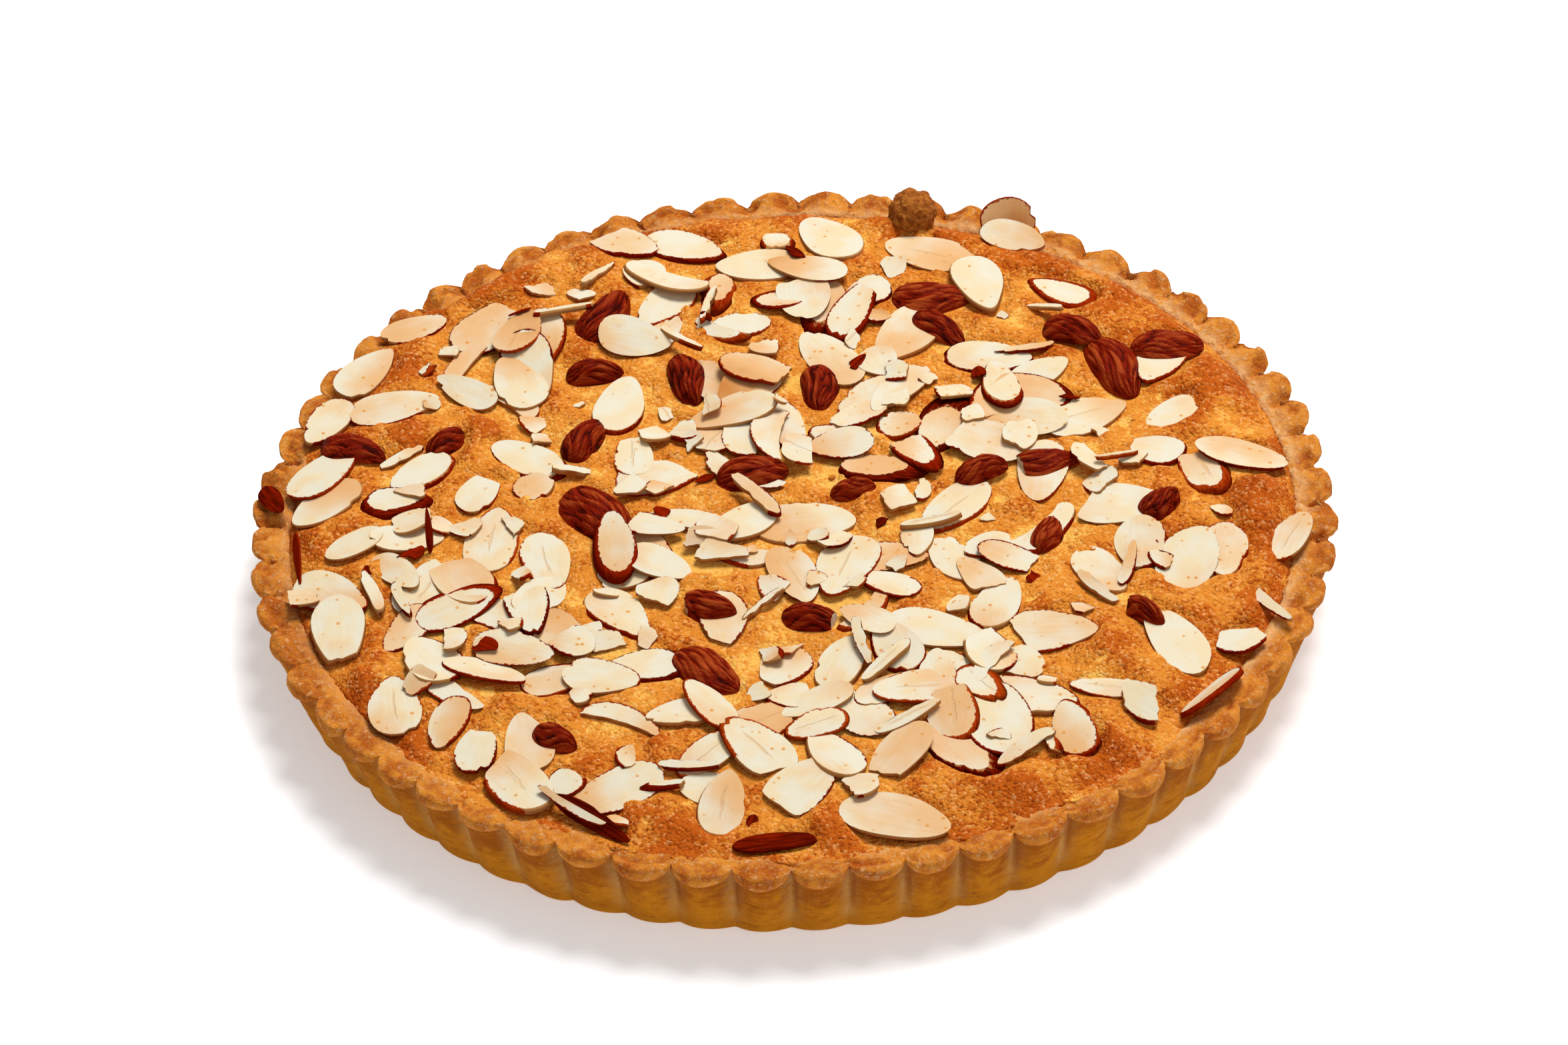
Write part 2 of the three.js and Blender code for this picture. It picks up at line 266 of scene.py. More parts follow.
class Shader:
    """The node tree of one finish."""

    def __init__(self, name: str) -> None:
        """Start an empty material.

        Args:
            name: the material's name.
        """
        self.material = bpy.data.materials.new(name)
        self.material.use_nodes = True
        self.tree = self.material.node_tree
        self.tree.nodes.clear()

    def node(
        self, kind: str, settings: dict[str, object], sockets: dict[Key, Link], output: Key = 0
    ) -> Value:
        """Add a node.

        Args:
            kind: the node's type.
            settings: the node's own properties, set first.
            sockets: values or links of its inputs.
            output: the output to return.

        Returns:
            The chosen output.
        """
        made = self.tree.nodes.new(kind)
        for name, value in settings.items():
            setattr(made, name, value)
        for key, value in sockets.items():
            if isinstance(value, Value):
                self.tree.links.new(value.socket, made.inputs[key])
            else:
                made.inputs[key].default_value = value
        return Value(self, made.outputs[output] if len(made.outputs) else None)

    def millimetres(self) -> Value:
        """Give object coordinates in millimetres."""
        place = self.node("ShaderNodeTexCoord", {}, {}, "Object")
        return self.node("ShaderNodeVectorMath", {"operation": "SCALE"}, {0: place, "Scale": 1 / MM})

    def attribute(self, name: str, output: str = "Fac") -> Value:
        """Read an attribute of the mesh."""
        return self.node("ShaderNodeAttribute", {"attribute_name": name}, {}, output)

    def stretched(self, place: Value, by: Sequence[float]) -> Value:
        """Multiply coordinates, axis by axis."""
        return self.node("ShaderNodeVectorMath", {"operation": "MULTIPLY"}, {0: place, 1: by})

    def noise(self, place: Value, size: float, detail: float = 2.0, roughness: float = 0.5) -> Value:
        """Noise of a size in millimetres, from 0 to 1."""
        sockets = {"Vector": place, "Scale": 1 / size, "Detail": detail, "Roughness": roughness}
        return self.node("ShaderNodeTexNoise", {}, sockets)

    def cells(self, place: Value, size: float) -> Value:
        """Distance to the nearest of scattered spots, in shares of their spacing in millimetres."""
        return self.node("ShaderNodeTexVoronoi", {}, {"Vector": place, "Scale": 1 / size})

    def grains(self, place: Value, size: float) -> Value:
        """One even random number from 0 to 1 for each grain of a size in millimetres."""
        colour = self.node("ShaderNodeTexVoronoi", {}, {"Vector": place, "Scale": 1 / size}, "Color")
        return self.node("ShaderNodeSeparateColor", {}, {"Color": colour})

    def squared(self, place: Value) -> Value:
        """Give the square of a vector's length."""
        return self.node("ShaderNodeVectorMath", {"operation": "DOT_PRODUCT"}, {0: place, 1: place}, "Value")

    def axis(self, place: Value, name: str) -> Value:
        """Give one of a vector's parts: X, Y or Z."""
        return self.node("ShaderNodeSeparateXYZ", {}, {0: place}, name)

    def ease(self, value: Value, low: float, high: float) -> Value:
        """Ease from 0 at low to 1 at high."""
        sockets = {"Value": value, "From Min": low, "From Max": high}
        return self.node("ShaderNodeMapRange", {"interpolation_type": "SMOOTHSTEP"}, sockets)

    def mix(self, first: Link, second: Link, factor: Link) -> Value:
        """Mix two colours."""
        return self.node("ShaderNodeMix", {"data_type": "RGBA"}, {0: factor, 6: first, 7: second}, 2)

    def finish(
        self, colour: Value, roughness: Link, height: Value, constants: dict[str, Link]
    ) -> bpy.types.Material:
        """Close the tree with a surface.

        Args:
            colour: base colour.
            roughness: a number, or a link where it changes over the surface.
            height: relief in millimetres.
            constants: numbers that are the same all over.

        Returns:
            The finished material.
        """
        normal = self.node("ShaderNodeBump", {}, {"Height": height, "Strength": 1.0, "Distance": MM})
        sockets = {"Base Color": colour, "Roughness": roughness, "Normal": normal, **constants}
        surface = self.node("ShaderNodeBsdfPrincipled", {}, sockets)
        self.node("ShaderNodeOutputMaterial", {}, {"Surface": surface})
        return self.material


def tone(code: str) -> Colour:
    """Turn a six-digit colour code into linear red, green, blue and alpha, by the sRGB curve.

    Args:
        code: two digits each of red, green and blue.

    Returns:
        The linear colour.
    """
    parts = [int(code[place : place + 2], 16) / 255 for place in (0, 2, 4)]
    linear = [part / 12.92 if part <= 0.04045 else ((part + 0.055) / 1.055) ** 2.4 for part in parts]
    return (*linear, 1.0)


@dataclass(frozen=True)
class BakedPastry:
    """Shortcrust: golden brown on the rim, ochre down the wall and paler in its creases, with shade painted
    under the lip and beside the creases.

    Sizes of noises are in millimetres, and a share says how strongly one tone covers another.
    """

    wall: Colour = tone("C67C12")
    wall_deep: Colour = tone("944C06")
    foot: Colour = tone("CC8A1C")
    pale_crease: Colour = tone("CCA060")
    rim: Colour = tone("D2842E")
    rim_deep: Colour = tone("A0480C")
    rim_pale: Colour = tone("E6B87C")
    # Dark tone for cracks and scuffs, also painted as shade beside the creases and on the lobes' flanks.
    crack_and_shade: Colour = tone("8C440C")
    blotch_size: float = 9.0
    patch_size: float = 2.6
    crumb_size: float = 1.1
    grain_size: float = 0.5
    pit_size: float = 2.2
    scuff_size: float = 1.5
    scuff_stretch: Triple = (0.4, 0.4, 1.3)
    lip_shade_span: Span = (4.0, 21.0)
    lip_shade: float = 0.24
    scuff_share: float = 0.5
    pale_crease_share: float = 0.6
    foot_share: float = 0.5
    pale_share: float = 0.55
    inner_share: float = 0.75
    furrow_share: float = 0.9
    crack_and_shade_share: float = 0.75
    grain_share: float = 0.3
    roughness: float = 0.8
    specular: float = 0.04

    def material(self) -> bpy.types.Material:
        """Make the finish. It reads the mesh's browning, crease, foot, crack, furrow and inner attributes.

        Returns:
            The finished material.
        """
        shader = Shader("baked_pastry")
        place = shader.millimetres()
        browning = shader.attribute("browning")
        blotch = shader.noise(place, self.blotch_size)
        patch = shader.noise(place, self.patch_size, 3.0, 0.6)
        crumb = shader.noise(place, self.crumb_size, 3.0, 0.7)
        grain = shader.noise(place, self.grain_size, 2.0, 0.7)
        wall = self.wall_colour(shader, place, blotch, patch, crumb)
        rim = self.rim_colour(shader, blotch, patch, crumb)
        colour = shader.mix(wall, rim, browning)
        # The crack attribute holds real cracks and also painted shade beside the creases and on the lobes'
        # flanks.
        colour = shader.mix(colour, self.crack_and_shade, shader.attribute("crack") * self.crack_and_shade_share)
        colour = shader.mix(colour, self.rim_pale, shader.ease(grain, 0.58, 0.76) * self.grain_share)
        colour = shader.mix(colour, self.rim_deep, shader.ease(1 - grain, 0.6, 0.78) * self.grain_share)
        pits = shader.ease(shader.cells(place, self.pit_size), 0.02, 0.3)
        height = grain * 0.12 + patch * (browning * 0.35 + 0.1) + (crumb * 0.5 + pits * 0.1) * browning
        return shader.finish(colour, self.roughness, height, {"Specular IOR Level": self.specular})

    def wall_colour(self, shader: Shader, place: Value, blotch: Value, patch: Value, crumb: Value) -> Value:
        """Colour the wall: blotchy, darker under the lip with painted shade, paler in the creases, golden at
        the foot.

        Args:
            shader: the finish's tree.
            place: object coordinates in millimetres.
            blotch: broad noise.
            patch: noise of the size of a spot.
            crumb: fine noise.

        Returns:
            The wall's colour.
        """
        # Painted shade: the wall grows darker towards the lip, as under its overhang.
        under_lip = shader.ease(shader.axis(place, "Z"), *self.lip_shade_span) * self.lip_shade
        scuff = shader.noise(shader.stretched(place, self.scuff_stretch), self.scuff_size, 3.0, 0.6)
        mottled_and_shaded = blotch * 0.35 + patch * 0.35 + scuff * 0.3 + under_lip
        wall = shader.mix(self.wall, self.wall_deep, shader.ease(mottled_and_shaded, 0.4, 0.8))
        wall = shader.mix(wall, self.crack_and_shade, shader.ease(scuff, 0.6, 0.74) * self.scuff_share)
        # A paler band runs down each crease.
        pale_band = shader.ease(patch * 0.6 + crumb * 0.4, 0.25, 0.6) * shader.attribute("crease")
        wall = shader.mix(wall, self.pale_crease, pale_band * self.pale_crease_share)
        return shader.mix(wall, self.foot, shader.attribute("foot") * self.foot_share)

    def rim_colour(self, shader: Shader, blotch: Value, patch: Value, crumb: Value) -> Value:
        """Colour the rim: browned in patches and furrows, darker with painted shade in its pressed hollows,
        paler on its crumb and inner slope, with painted light towards +X.

        Args:
            shader: the finish's tree.
            blotch: broad noise.
            patch: noise of the size of a spot.
            crumb: fine noise.

        Returns:
            The rim's colour.
        """
        baked = shader.ease(patch * 0.6 + blotch * 0.5 + crumb * 0.3, 0.56, 0.9)
        rim = shader.mix(self.rim, self.rim_deep, baked)
        rim = shader.mix(rim, self.rim_pale, shader.ease(crumb, 0.5, 0.68) * self.pale_share)
        # The inner attribute is painted lighter towards +X, as light falling on that side.
        slope = shader.attribute("inner") * shader.ease(patch, 0.3, 0.6)
        rim = shader.mix(rim, self.rim_pale, slope * self.inner_share)
        # The furrow attribute also holds painted shade in the pressed hollows.
        furrow = shader.attribute("furrow") * shader.ease(crumb, 0.3, 0.55)
        return shader.mix(rim, self.rim_deep, furrow * self.furrow_share)


@dataclass(frozen=True)
class BakedFrangipane:
    """Almond filling: a sandy golden-brown skin, pale yellow in its hollows."""

    pale: Colour = tone("F2B654")
    golden: Colour = tone("DC882E")
    brown: Colour = tone("BE5A12")
    deep: Colour = tone("8A3002")
    sugar: Colour = tone("F0BC7E")
    cloud_size: float = 9.0
    mottle_size: float = 1.4
    grain_size: float = 0.7
    cold: float = 0.8
    dark_grain_share: float = 0.5
    sugar_share: float = 0.32
    roughness: float = 0.75
    specular: float = 0.05

    def material(self) -> bpy.types.Material:
        """Make the finish. It reads the mesh's browning attribute.

        Returns:
            The finished material.
        """
        shader = Shader("baked_frangipane")
        place = shader.millimetres()
        cloud = shader.noise(place, self.cloud_size, 3.0)
        mottle = shader.noise(place, self.mottle_size, 3.0, 0.7)
        spots = shader.ease(mottle, 0.32, 0.68)
        grain = shader.grains(place, self.grain_size)
        heat = shader.attribute("browning") + cloud + spots * 0.14 + grain * 0.18 - self.cold
        colour = shader.mix(self.pale, self.golden, shader.ease(heat, 0.1, 0.36))
        colour = shader.mix(colour, self.brown, shader.ease(heat, 0.4, 0.72))
        colour = shader.mix(colour, self.deep, shader.ease(heat, 0.74, 1.25))
        dark_grain = shader.ease(grain, 0.74, 0.92) * shader.ease(heat, 0.25, 0.7)
        colour = shader.mix(colour, self.deep, dark_grain * self.dark_grain_share)
        colour = shader.mix(colour, self.sugar, shader.ease(1 - grain, 0.76, 0.98) * self.sugar_share)
        height = mottle * 0.7 + cloud * 0.5 - shader.cells(place, self.grain_size) * 0.35
        return shader.finish(colour, self.roughness, height, {"Specular IOR Level": self.specular})


@dataclass(frozen=True)
class SlicedAlmond:
    """Cut almond: ivory flesh with toasted patches, and wrinkled red-brown skin where the mesh has it."""

    name: str = "sliced_almond"
    ivory: Colour = tone("D8D0BA")
    cream: Colour = tone("DCC8A2")
    toasted: Colour = tone("D6A672")
    scorched: Colour = tone("B87436")
    # Tone of a slab's sides, darker than the flesh: partly the skin's edge, partly painted contact shade.
    side: Colour = tone("B07C48")
    speck: Colour = tone("CE8A3C")
    skin: Colour = tone("861A02")
    skin_dark: Colour = tone("4A0A02")
    skin_ridge: Colour = tone("AE420E")
    streak_size: float = 1.1
    streak_stretch: Triple = (0.16, 1.0, 1.0)
    cloud_size: float = 7.0
    fine_size: float = 0.6
    dot_spacing: float = 3.0
    ridge_size: float = 0.75
    ridge_stretch: Triple = (0.1, 1.0, 1.0)
    rag_size: float = 0.9
    raw: float = 0.31
    dot_share: float = 0.85
    cleft_share: float = 0.5
    flesh_roughness: float = 0.6
    skin_sheen: float = 0.2
    gloss: float = 0.0

    def material(self) -> bpy.types.Material:
        """Make the finish. It reads the mesh's skin, rind, toast, tone, grain and within attributes.

        Returns:
            The finished material.
        """
        shader = Shader(self.name)
        place = shader.attribute("grain", "Vector")
        shade = shader.attribute("tone")
        streak = shader.noise(shader.stretched(place, self.streak_stretch), self.streak_size, 3.0, 0.6)
        cloud = shader.noise(place, self.cloud_size, 1.0)
        fine = shader.noise(place, self.fine_size, 2.0, 0.6)
        cleft = self.cleft(shader, place, streak) * shader.ease(shade, 0.84, 0.9)
        gate = shader.attribute("skin")
        flesh = self.flesh_colour(shader, place, streak, cloud, fine)
        flesh = shader.mix(flesh, self.toasted, cleft * self.cleft_share)
        # The sides take the darker side tone, partly painted shade along the edge.
        flesh = shader.mix(flesh, self.side, shader.ease(gate, 0.92, 0.98))
        ridge = shader.noise(shader.stretched(place, self.ridge_stretch), self.ridge_size, 3.0, 0.65)
        light = shade * 0.65 + ridge * 1.1 - 0.25
        husk = shader.mix(self.skin_dark, self.skin, shader.ease(light, 0.15, 0.55))
        husk = shader.mix(husk, self.skin_ridge, shader.ease(light, 0.58, 1.1))
        rag = (shader.noise(place, self.rag_size, 2.0) - 0.5) * 0.7
        skin = shader.ease(shader.attribute("rind") * gate + rag, 0.43, 0.57)
        colour = shader.mix(flesh, husk, skin)
        bare = cloud * 0.4 + streak * 0.1 + fine * 0.04 - cleft * 0.12
        height = skin * ridge * 0.7 + (1 - skin) * bare
        roughness = self.flesh_roughness - skin * self.skin_sheen
        return shader.finish(colour, roughness, height, {"Specular IOR Level": self.gloss})

    def flesh_colour(self, shader: Shader, place: Value, streak: Value, cloud: Value, fine: Value) -> Value:
        """Colour the cut flesh: ivory to cream, toasted in patches, with a few specks.

        Args:
            shader: the finish's tree.
            place: along, across and up on the piece, in millimetres.
            streak: noise drawn out along the piece.
            cloud: broad noise.
            fine: fine noise.

        Returns:
            The flesh's colour.
        """
        from_middle = shader.squared(shader.attribute("within", "Vector"))
        faded = shader.ease(from_middle, 0.25, 1.0) * 0.1
        toast = shader.attribute("toast") + cloud * 0.4 + streak * 0.2 - faded - self.raw
        flesh = shader.mix(self.ivory, self.cream, shader.ease(cloud * 0.7 + streak * 0.3, 0.35, 0.65))
        flesh = shader.mix(flesh, self.toasted, shader.ease(toast, 0.1, 0.9))
        flesh = shader.mix(flesh, self.scorched, shader.ease(toast, 0.8, 1.5))
        dots = 1 - shader.ease(shader.cells(place, self.dot_spacing) + fine * 0.2, 0.2, 0.29)
        return shader.mix(flesh, self.speck, dots * shader.ease(cloud, 0.4, 0.55) * self.dot_share)

    def cleft(self, shader: Shader, place: Value, waver: Value) -> Value:
        """Mark the line where the kernel's halves meet, lengthways along a slice.

        Args:
            shader: the finish's tree.
            place: along, across and up on the piece, in millimetres.
            waver: noise that bends the line.

        Returns:
            1 on the line and 0 off it.
        """
        along = shader.axis(place, "X")
        off = (shader.axis(place, "Y") + waver * 2.4 - 1.2) ** 2
        return (1 - shader.ease(off, 0.0, 0.09)) * (1 - shader.ease(along * along, 9.0, 36.0))


@dataclass(frozen=True)
class CaramelCrumb:
    """Crumbs: baked filling that came off, from golden to dark caramel."""

    golden: Colour = tone("DC8C38")
    dark: Colour = tone("6E2A08")
    mottle_size: float = 1.4
    grain_size: float = 0.5
    roughness: float = 0.7
    specular: float = 0.05

    def material(self) -> bpy.types.Material:
        """Make the finish. It reads the mesh's tone attribute.

        Returns:
            The finished material.
        """
        shader = Shader("caramel_crumb")
        place = shader.millimetres()
        mottle = shader.noise(place, self.mottle_size, 3.0, 0.65)
        grain = shader.noise(place, self.grain_size, 2.0)
        heat = shader.attribute("tone") + (mottle - 0.5) * 0.9
        colour = shader.mix(self.golden, self.dark, shader.ease(heat, 0.1, 0.9))
        height = mottle * 0.7 + grain * 0.25
        return shader.finish(colour, self.roughness, height, {"Specular IOR Level": self.specular})


@dataclass(frozen=True)
class TartSizes:
    """Driving sizes of the tart, as in its solids."""

    rim_radius: float = 125.0
    base_radius: float = 118.5
    wall_height: float = 21.0
    rim_width: float = 9.5
    rim_crest: float = 1.2
    crest_width: float = 4.0
    lip_height: float = 1.6
    lip_overhang: float = 0.5
    base_round: float = 1.5
    floor: float = 5.0
    flute_count: int = 60
    flute_depth: float = 3.0
    crest_flute_depth: float = 1.4
    base_flute_depth: float = 1.2
    first_crease: float = math.radians(3.8)
    gap: float = 0.3

    @property
    def rim_top(self) -> float:
        """Height of the rim's crest."""
        return self.wall_height + self.rim_crest

    @property
    def inner_radius(self) -> float:
        """Radius where the rim meets the filling."""
        return self.rim_radius - self.rim_width

    @property
    def fill_radius(self) -> float:
        """Radius of the filling at its edge."""
        return self.inner_radius - self.gap

    @property
    def wall_slope(self) -> float:
        """How far the wall leans out for each millimetre of height."""
        return (self.rim_radius - self.base_radius) / self.wall_height


@dataclass
class CaseSpots:
    """Where each vertex of the case lies on the section and round the case, and what follows from that."""

    radius: np.ndarray
    height: np.ndarray
    depth: np.ndarray
    rise: np.ndarray
    groove: np.ndarray
    angle: np.ndarray
    lobe: np.ndarray
    across: np.ndarray
    bulge: np.ndarray = field(init=False)
    pinched: np.ndarray = field(init=False)
    crack: np.ndarray = field(init=False)
    wave: np.ndarray = field(init=False)
    on_rim: np.ndarray = field(init=False)


@dataclass
class PastryCase:
    """The fluted case: floor, wall that widens upwards and a rim with a drooping lip."""

    sizes: TartSizes
    columns_per_flute: int = 20
    wall_rings: int = 24
    lip_rise: float = 2.0
    lip_drop: float = 0.9
    lip_flute_depth: float = 3.4
    lobe_squareness: float = 0.78
    crinkle_depth: float = 1.1
    crease_round: float = 0.06
    wall_round: float = 0.3
    lobe_reach: float = 0.4
    lobe_droop: float = 0.5
    lobe_lean: float = 0.5
    lobe_wander: float = 0.07
    wander_waves: int = 7
    crease_crowding: float = 0.08
    crease_power: float = 1.6
    groove_depth: float = 2.8
    front_pinch: float = 0.15
    crown_browning: float = 0.9
    # Painted shade in the rim's pressed hollows.
    groove_shade: float = 0.9
    pale_crease_width: float = 0.26
    # Place and width of the painted shade line beside each crease.
    crease_shade_place: float = -0.84
    crease_shade_width: float = 0.12
    flank_shade: float = 0.18
    lip_width: float = 3.0
    furrow_inset: float = 3.0
    furrow_width: float = 0.9
    furrow_depth: float = 0.5
    pad_rise: float = 0.25
    crack_share: float = 0.45
    crack_depth: float = 0.5
    crack_width: float = 0.55
    crack_dip: float = 1.3
    foot_shade: float = 0.7
    foot_span: Span = (0.6, 3.2)
    wave_size: float = 6.0
    crinkle_size: float = 3.3
    smooth_angle: float = math.radians(50)
    seed: int = 29
    lobes: dict[str, np.ndarray] = field(default_factory=dict)

    @property
    def under_lip(self) -> float:
        """Height at which the lip hangs over the wall."""
        return self.sizes.wall_height - self.sizes.lip_height - self.lip_drop

    def profile(self) -> np.ndarray:
        """Trace the section of the case from the axis, under the foot, up the wall, over the rim and back.

        Returns:
            Rows of radius, height, flute depth, crease rise and groove share.
        """
        tart = self.sizes
        under_lip = self.under_lip
        neck = tart.base_radius + tart.wall_slope * under_lip - tart.lip_overhang
        crest = tart.rim_radius - tart.crest_width
        inner_floor = tart.inner_radius - tart.wall_slope * (tart.wall_height - tart.floor)
        foot_start = tart.base_radius - tart.base_round
        rows = [[0, 0, 0, 0, 0], [foot_start * 0.6, 0, 0, 0, 0], [foot_start * 0.96, 0, 0.3, 0, 0]]
        rows.append([foot_start, 0, tart.base_flute_depth, 0, 0])
        for angle in np.linspace(0.25, 0.75, 3) * math.pi / 2:
            out = foot_start + tart.base_round * math.sin(angle)
            rows.append([out, tart.base_round * (1 - math.cos(angle)), tart.base_flute_depth, 0, 0])
        for share in np.linspace(0, 1, self.wall_rings):
            height = tart.base_round + (under_lip - tart.base_round) * share
            radius = tart.base_radius + (neck - tart.base_radius) * share
            depth = tart.base_flute_depth + (tart.flute_depth - tart.base_flute_depth) * share
            rows.append([radius, height, depth, self.lip_rise * share, 0])
        lip_edge = [tart.rim_radius - 0.2, tart.wall_height + 0.6, self.lip_flute_depth, 0.5, 0.5]
        lip = [
            [neck, under_lip, tart.flute_depth, self.lip_rise, 0],
            [tart.rim_radius + 0.1, under_lip - 0.1, self.lip_flute_depth, self.lip_rise, 0.1],
            [tart.rim_radius + 0.4, tart.wall_height - 0.6, self.lip_flute_depth, 1.4, 0.3],
            lip_edge,
        ]
        crest_row = [crest, tart.rim_top - 0.2, tart.crest_flute_depth, 0, 0.9]
        top = [
            lip_edge,
            [tart.rim_radius - 0.5, tart.rim_top - 0.1, 3.3, 0, 0.8],
            [crest + 1.8, tart.rim_top + 0.1, 2.4, 0, 1.0],
            crest_row,
        ]
        shoulder = [tart.inner_radius + 1.3, tart.wall_height + 0.1, 0, 0, 0]
        slope = [
            crest_row,
            [crest - 1.5, tart.rim_top - 0.4, 0.9, 0, 0.9],
            [tart.inner_radius + 2.4, tart.wall_height + 0.5, 0.3, 0, 0.6],
            shoulder,
        ]
        edge = [
            shoulder,
            [tart.inner_radius + 0.5, tart.wall_height - 0.2, 0, 0, 0],
            [tart.inner_radius, tart.wall_height - 0.7, 0, 0, 0],
            [tart.inner_radius - 0.1, tart.wall_height - 1.8, 0, 0, 0],
        ]
        inside = [
            [tart.inner_radius - 0.8, tart.wall_height - 4, 0, 0, 0],
            [inner_floor, tart.floor, 0, 0, 0],
            [0, tart.floor, 0, 0, 0],
        ]
        over_rim = [bezier(lip, 8), bezier(top, 8), bezier(slope, 8), bezier(edge, 5)]
        return np.concatenate([rows, *over_rim, inside])

    def spin_profile(self, profile: np.ndarray) -> bpy.types.Object:
        """Draw the section point by point and spin it round the axis.

        Args:
            profile: rows that start with radius and height.

        Returns:
            The closed body of revolution, with the row of each vertex as its station attribute.
        """
        bpy.ops.object.select_all(action="DESELECT")
        bpy.ops.mesh.primitive_plane_add(size=MM)
        piece = bpy.context.object
        edit_mesh(piece)
        bpy.ops.mesh.merge(type="CENTER")
        for step in np.diff(profile[:, :2], axis=0) * MM:
            bpy.ops.mesh.extrude_region_move(TRANSFORM_OT_translate={"value": (step[0], 0, step[1])})
        leave_edit()
        set_attribute(piece, "station", np.arange(len(profile), dtype=float))
        edit_mesh(piece)
        columns = self.sizes.flute_count * self.columns_per_flute
        bpy.ops.mesh.spin(steps=columns, angle=TURN, center=(0, 0, 0), axis=(0, 0, 1))
        bpy.ops.mesh.select_all(action="SELECT")
        bpy.ops.mesh.remove_doubles(threshold=0.01 * MM)
        bpy.ops.mesh.normals_make_consistent(inside=False)
        leave_edit()
        return piece

    def draw_lobes(self) -> None:
        """Draw how each lobe differs from the next."""
        draws = Draws(self.seed)
        names = ("reach", "droop", "skew", "crack", "crack_level", "crack_place", "crack_width")
        for name in names:
            self.lobes[name] = np.array([draws.next() for _ in range(self.sizes.flute_count)])

    def build(self) -> bpy.types.Object:
        """Model the case and store what its finish reads.

        Returns:
            The case's object.
        """
        tart = self.sizes
        profile = self.profile()
        piece = self.spin_profile(profile)
        piece.name = "fluted_case"
        self.draw_lobes()
        spots = self.read_spots(piece, profile)
        spots.bulge = self.bulge(spots)
        towards_back = smooth_step(np.sin(spots.angle), -0.75, 0.1)
        spots.pinched = self.front_pinch + (1 - self.front_pinch) * towards_back
        spots.crack = self.cracks(spots)
        places = self.shaped(spots)
        spots.wave = soft_noise(places, size=self.wave_size, seed=3.7)
        level = spots.height + 0.4 * spots.wave
        on_rim = smooth_step(level, self.under_lip - 0.2, self.under_lip + 0.8)
        on_rim = on_rim * (spots.radius > tart.base_radius - 6)
        spots.on_rim = on_rim
        set_attribute(piece, "browning", on_rim)
        self.mark_rim(piece, spots, places)
        self.mark_wall(piece, spots)
        on_lip = smooth_step(spots.radius, tart.rim_radius - self.lip_width, tart.rim_radius - 1)
        roughen(piece, "rim_waves", on_rim * (1 - on_lip), size=5.0, depth=1.1)
        roughen(piece, "rim_pits", on_rim * (1 - 0.7 * on_lip), size=2.2, depth=1.0)
        roughen(piece, "rim_crumb", on_rim * (1 - 0.5 * on_lip), size=1.1, depth=0.4)
        above_foot = smooth_step(spots.height, 0.4, 2.5)
        roughen(piece, "wall_waves", (1 - on_rim) * above_foot, size=7.0, depth=0.45)
        self.smooth(piece)
        return piece

    def read_spots(self, piece: bpy.types.Object, profile: np.ndarray) -> CaseSpots:
        """Find each vertex's row of the section, its lobe and its place across it.

        Args:
            piece: the spun case.
            profile: the section's rows.

        Returns:
            What is known of each vertex.
        """
        tart = self.sizes
        station = np.empty(len(piece.data.vertices), np.float32)
        piece.data.attributes["station"].data.foreach_get("value", station)
        piece.data.attributes.remove(piece.data.attributes["station"])
        radius, height, depth, rise, groove = profile[np.rint(station).astype(int)].T
        places = vertex_places(piece)
        pitch = TURN / tart.flute_count
        columns = np.rint(np.arctan2(places[:, 1], places[:, 0]) / pitch * self.columns_per_flute)
        turns = columns / self.columns_per_flute
        turns = turns - self.crease_crowding * np.sin(TURN * turns)
        outwards = smooth_step(radius, tart.inner_radius, tart.rim_radius)
        wander = self.lobe_wander * np.sin(turns * pitch * self.wander_waves + 1) * outwards
        angle = tart.first_crease + pitch * (turns + wander)
        lobe = np.floor(turns).astype(int) % tart.flute_count
        across = 2 * (turns - np.floor(turns)) - 1
        return CaseSpots(radius, height, depth, rise, groove, angle, lobe, across)

    def bulge(self, spots: CaseSpots) -> np.ndarray:
        """How far out each vertex stands on its lobe, from 0 in a crease to 1 on the crown.

        Args:
            spots: what is known of each vertex.

        Returns:
            One number for each vertex.
        """
        tart = self.sizes
        skew = (self.lobes["skew"][spots.lobe] - 0.5) * self.lobe_lean
        leaned = spots.across + skew * (1 - spots.across**2)
        half_pitch = tart.rim_radius * TURN / tart.flute_count / 2
        bend = (half_pitch**2 + tart.flute_depth**2) / (2 * tart.flute_depth)
        arc = (np.sqrt(bend**2 - (half_pitch * leaned) ** 2) - bend + tart.flute_depth) / tart.flute_depth
        soft = np.sqrt(arc**2 + self.wall_round**2) - self.wall_round * (1 - arc)
        square = np.sqrt(arc**2 + self.crease_round**2) - self.crease_round * (1 - arc)
        towards_lip = smooth_step(spots.height, self.under_lip - 1.5, self.under_lip + 0.5)
        return soft + (square**self.lobe_squareness - soft) * towards_lip

    def shaped(self, spots: CaseSpots) -> np.ndarray:
        """Place each vertex on its lobe.

        Args:
            spots: what is known of each vertex.

        Returns:
            Rows of x, y and z.
        """
        bulge = spots.bulge
        reaching = self.lobes["reach"][spots.lobe]
        drooping = self.lobes["droop"][spots.lobe]
        share = spots.depth / self.sizes.flute_depth
        far = (reaching - 0.5) * 2 * self.lobe_reach * bulge * share
        reach = spots.radius - spots.depth * (1 - bulge) + far - self.crack_depth * spots.crack
        droop = (drooping - 0.5) * 2 * self.lobe_droop * bulge * spots.rise / self.lip_rise
        crease = np.abs(spots.across) ** self.crease_power
        pinch = self.groove_depth * spots.pinched * (0.7 + 0.6 * reaching) * crease
        top = spots.height + spots.rise * (1 - bulge) - droop + spots.groove * (self.pad_rise * bulge - pinch)
        return np.stack([reach * np.cos(spots.angle), reach * np.sin(spots.angle), top], 1)

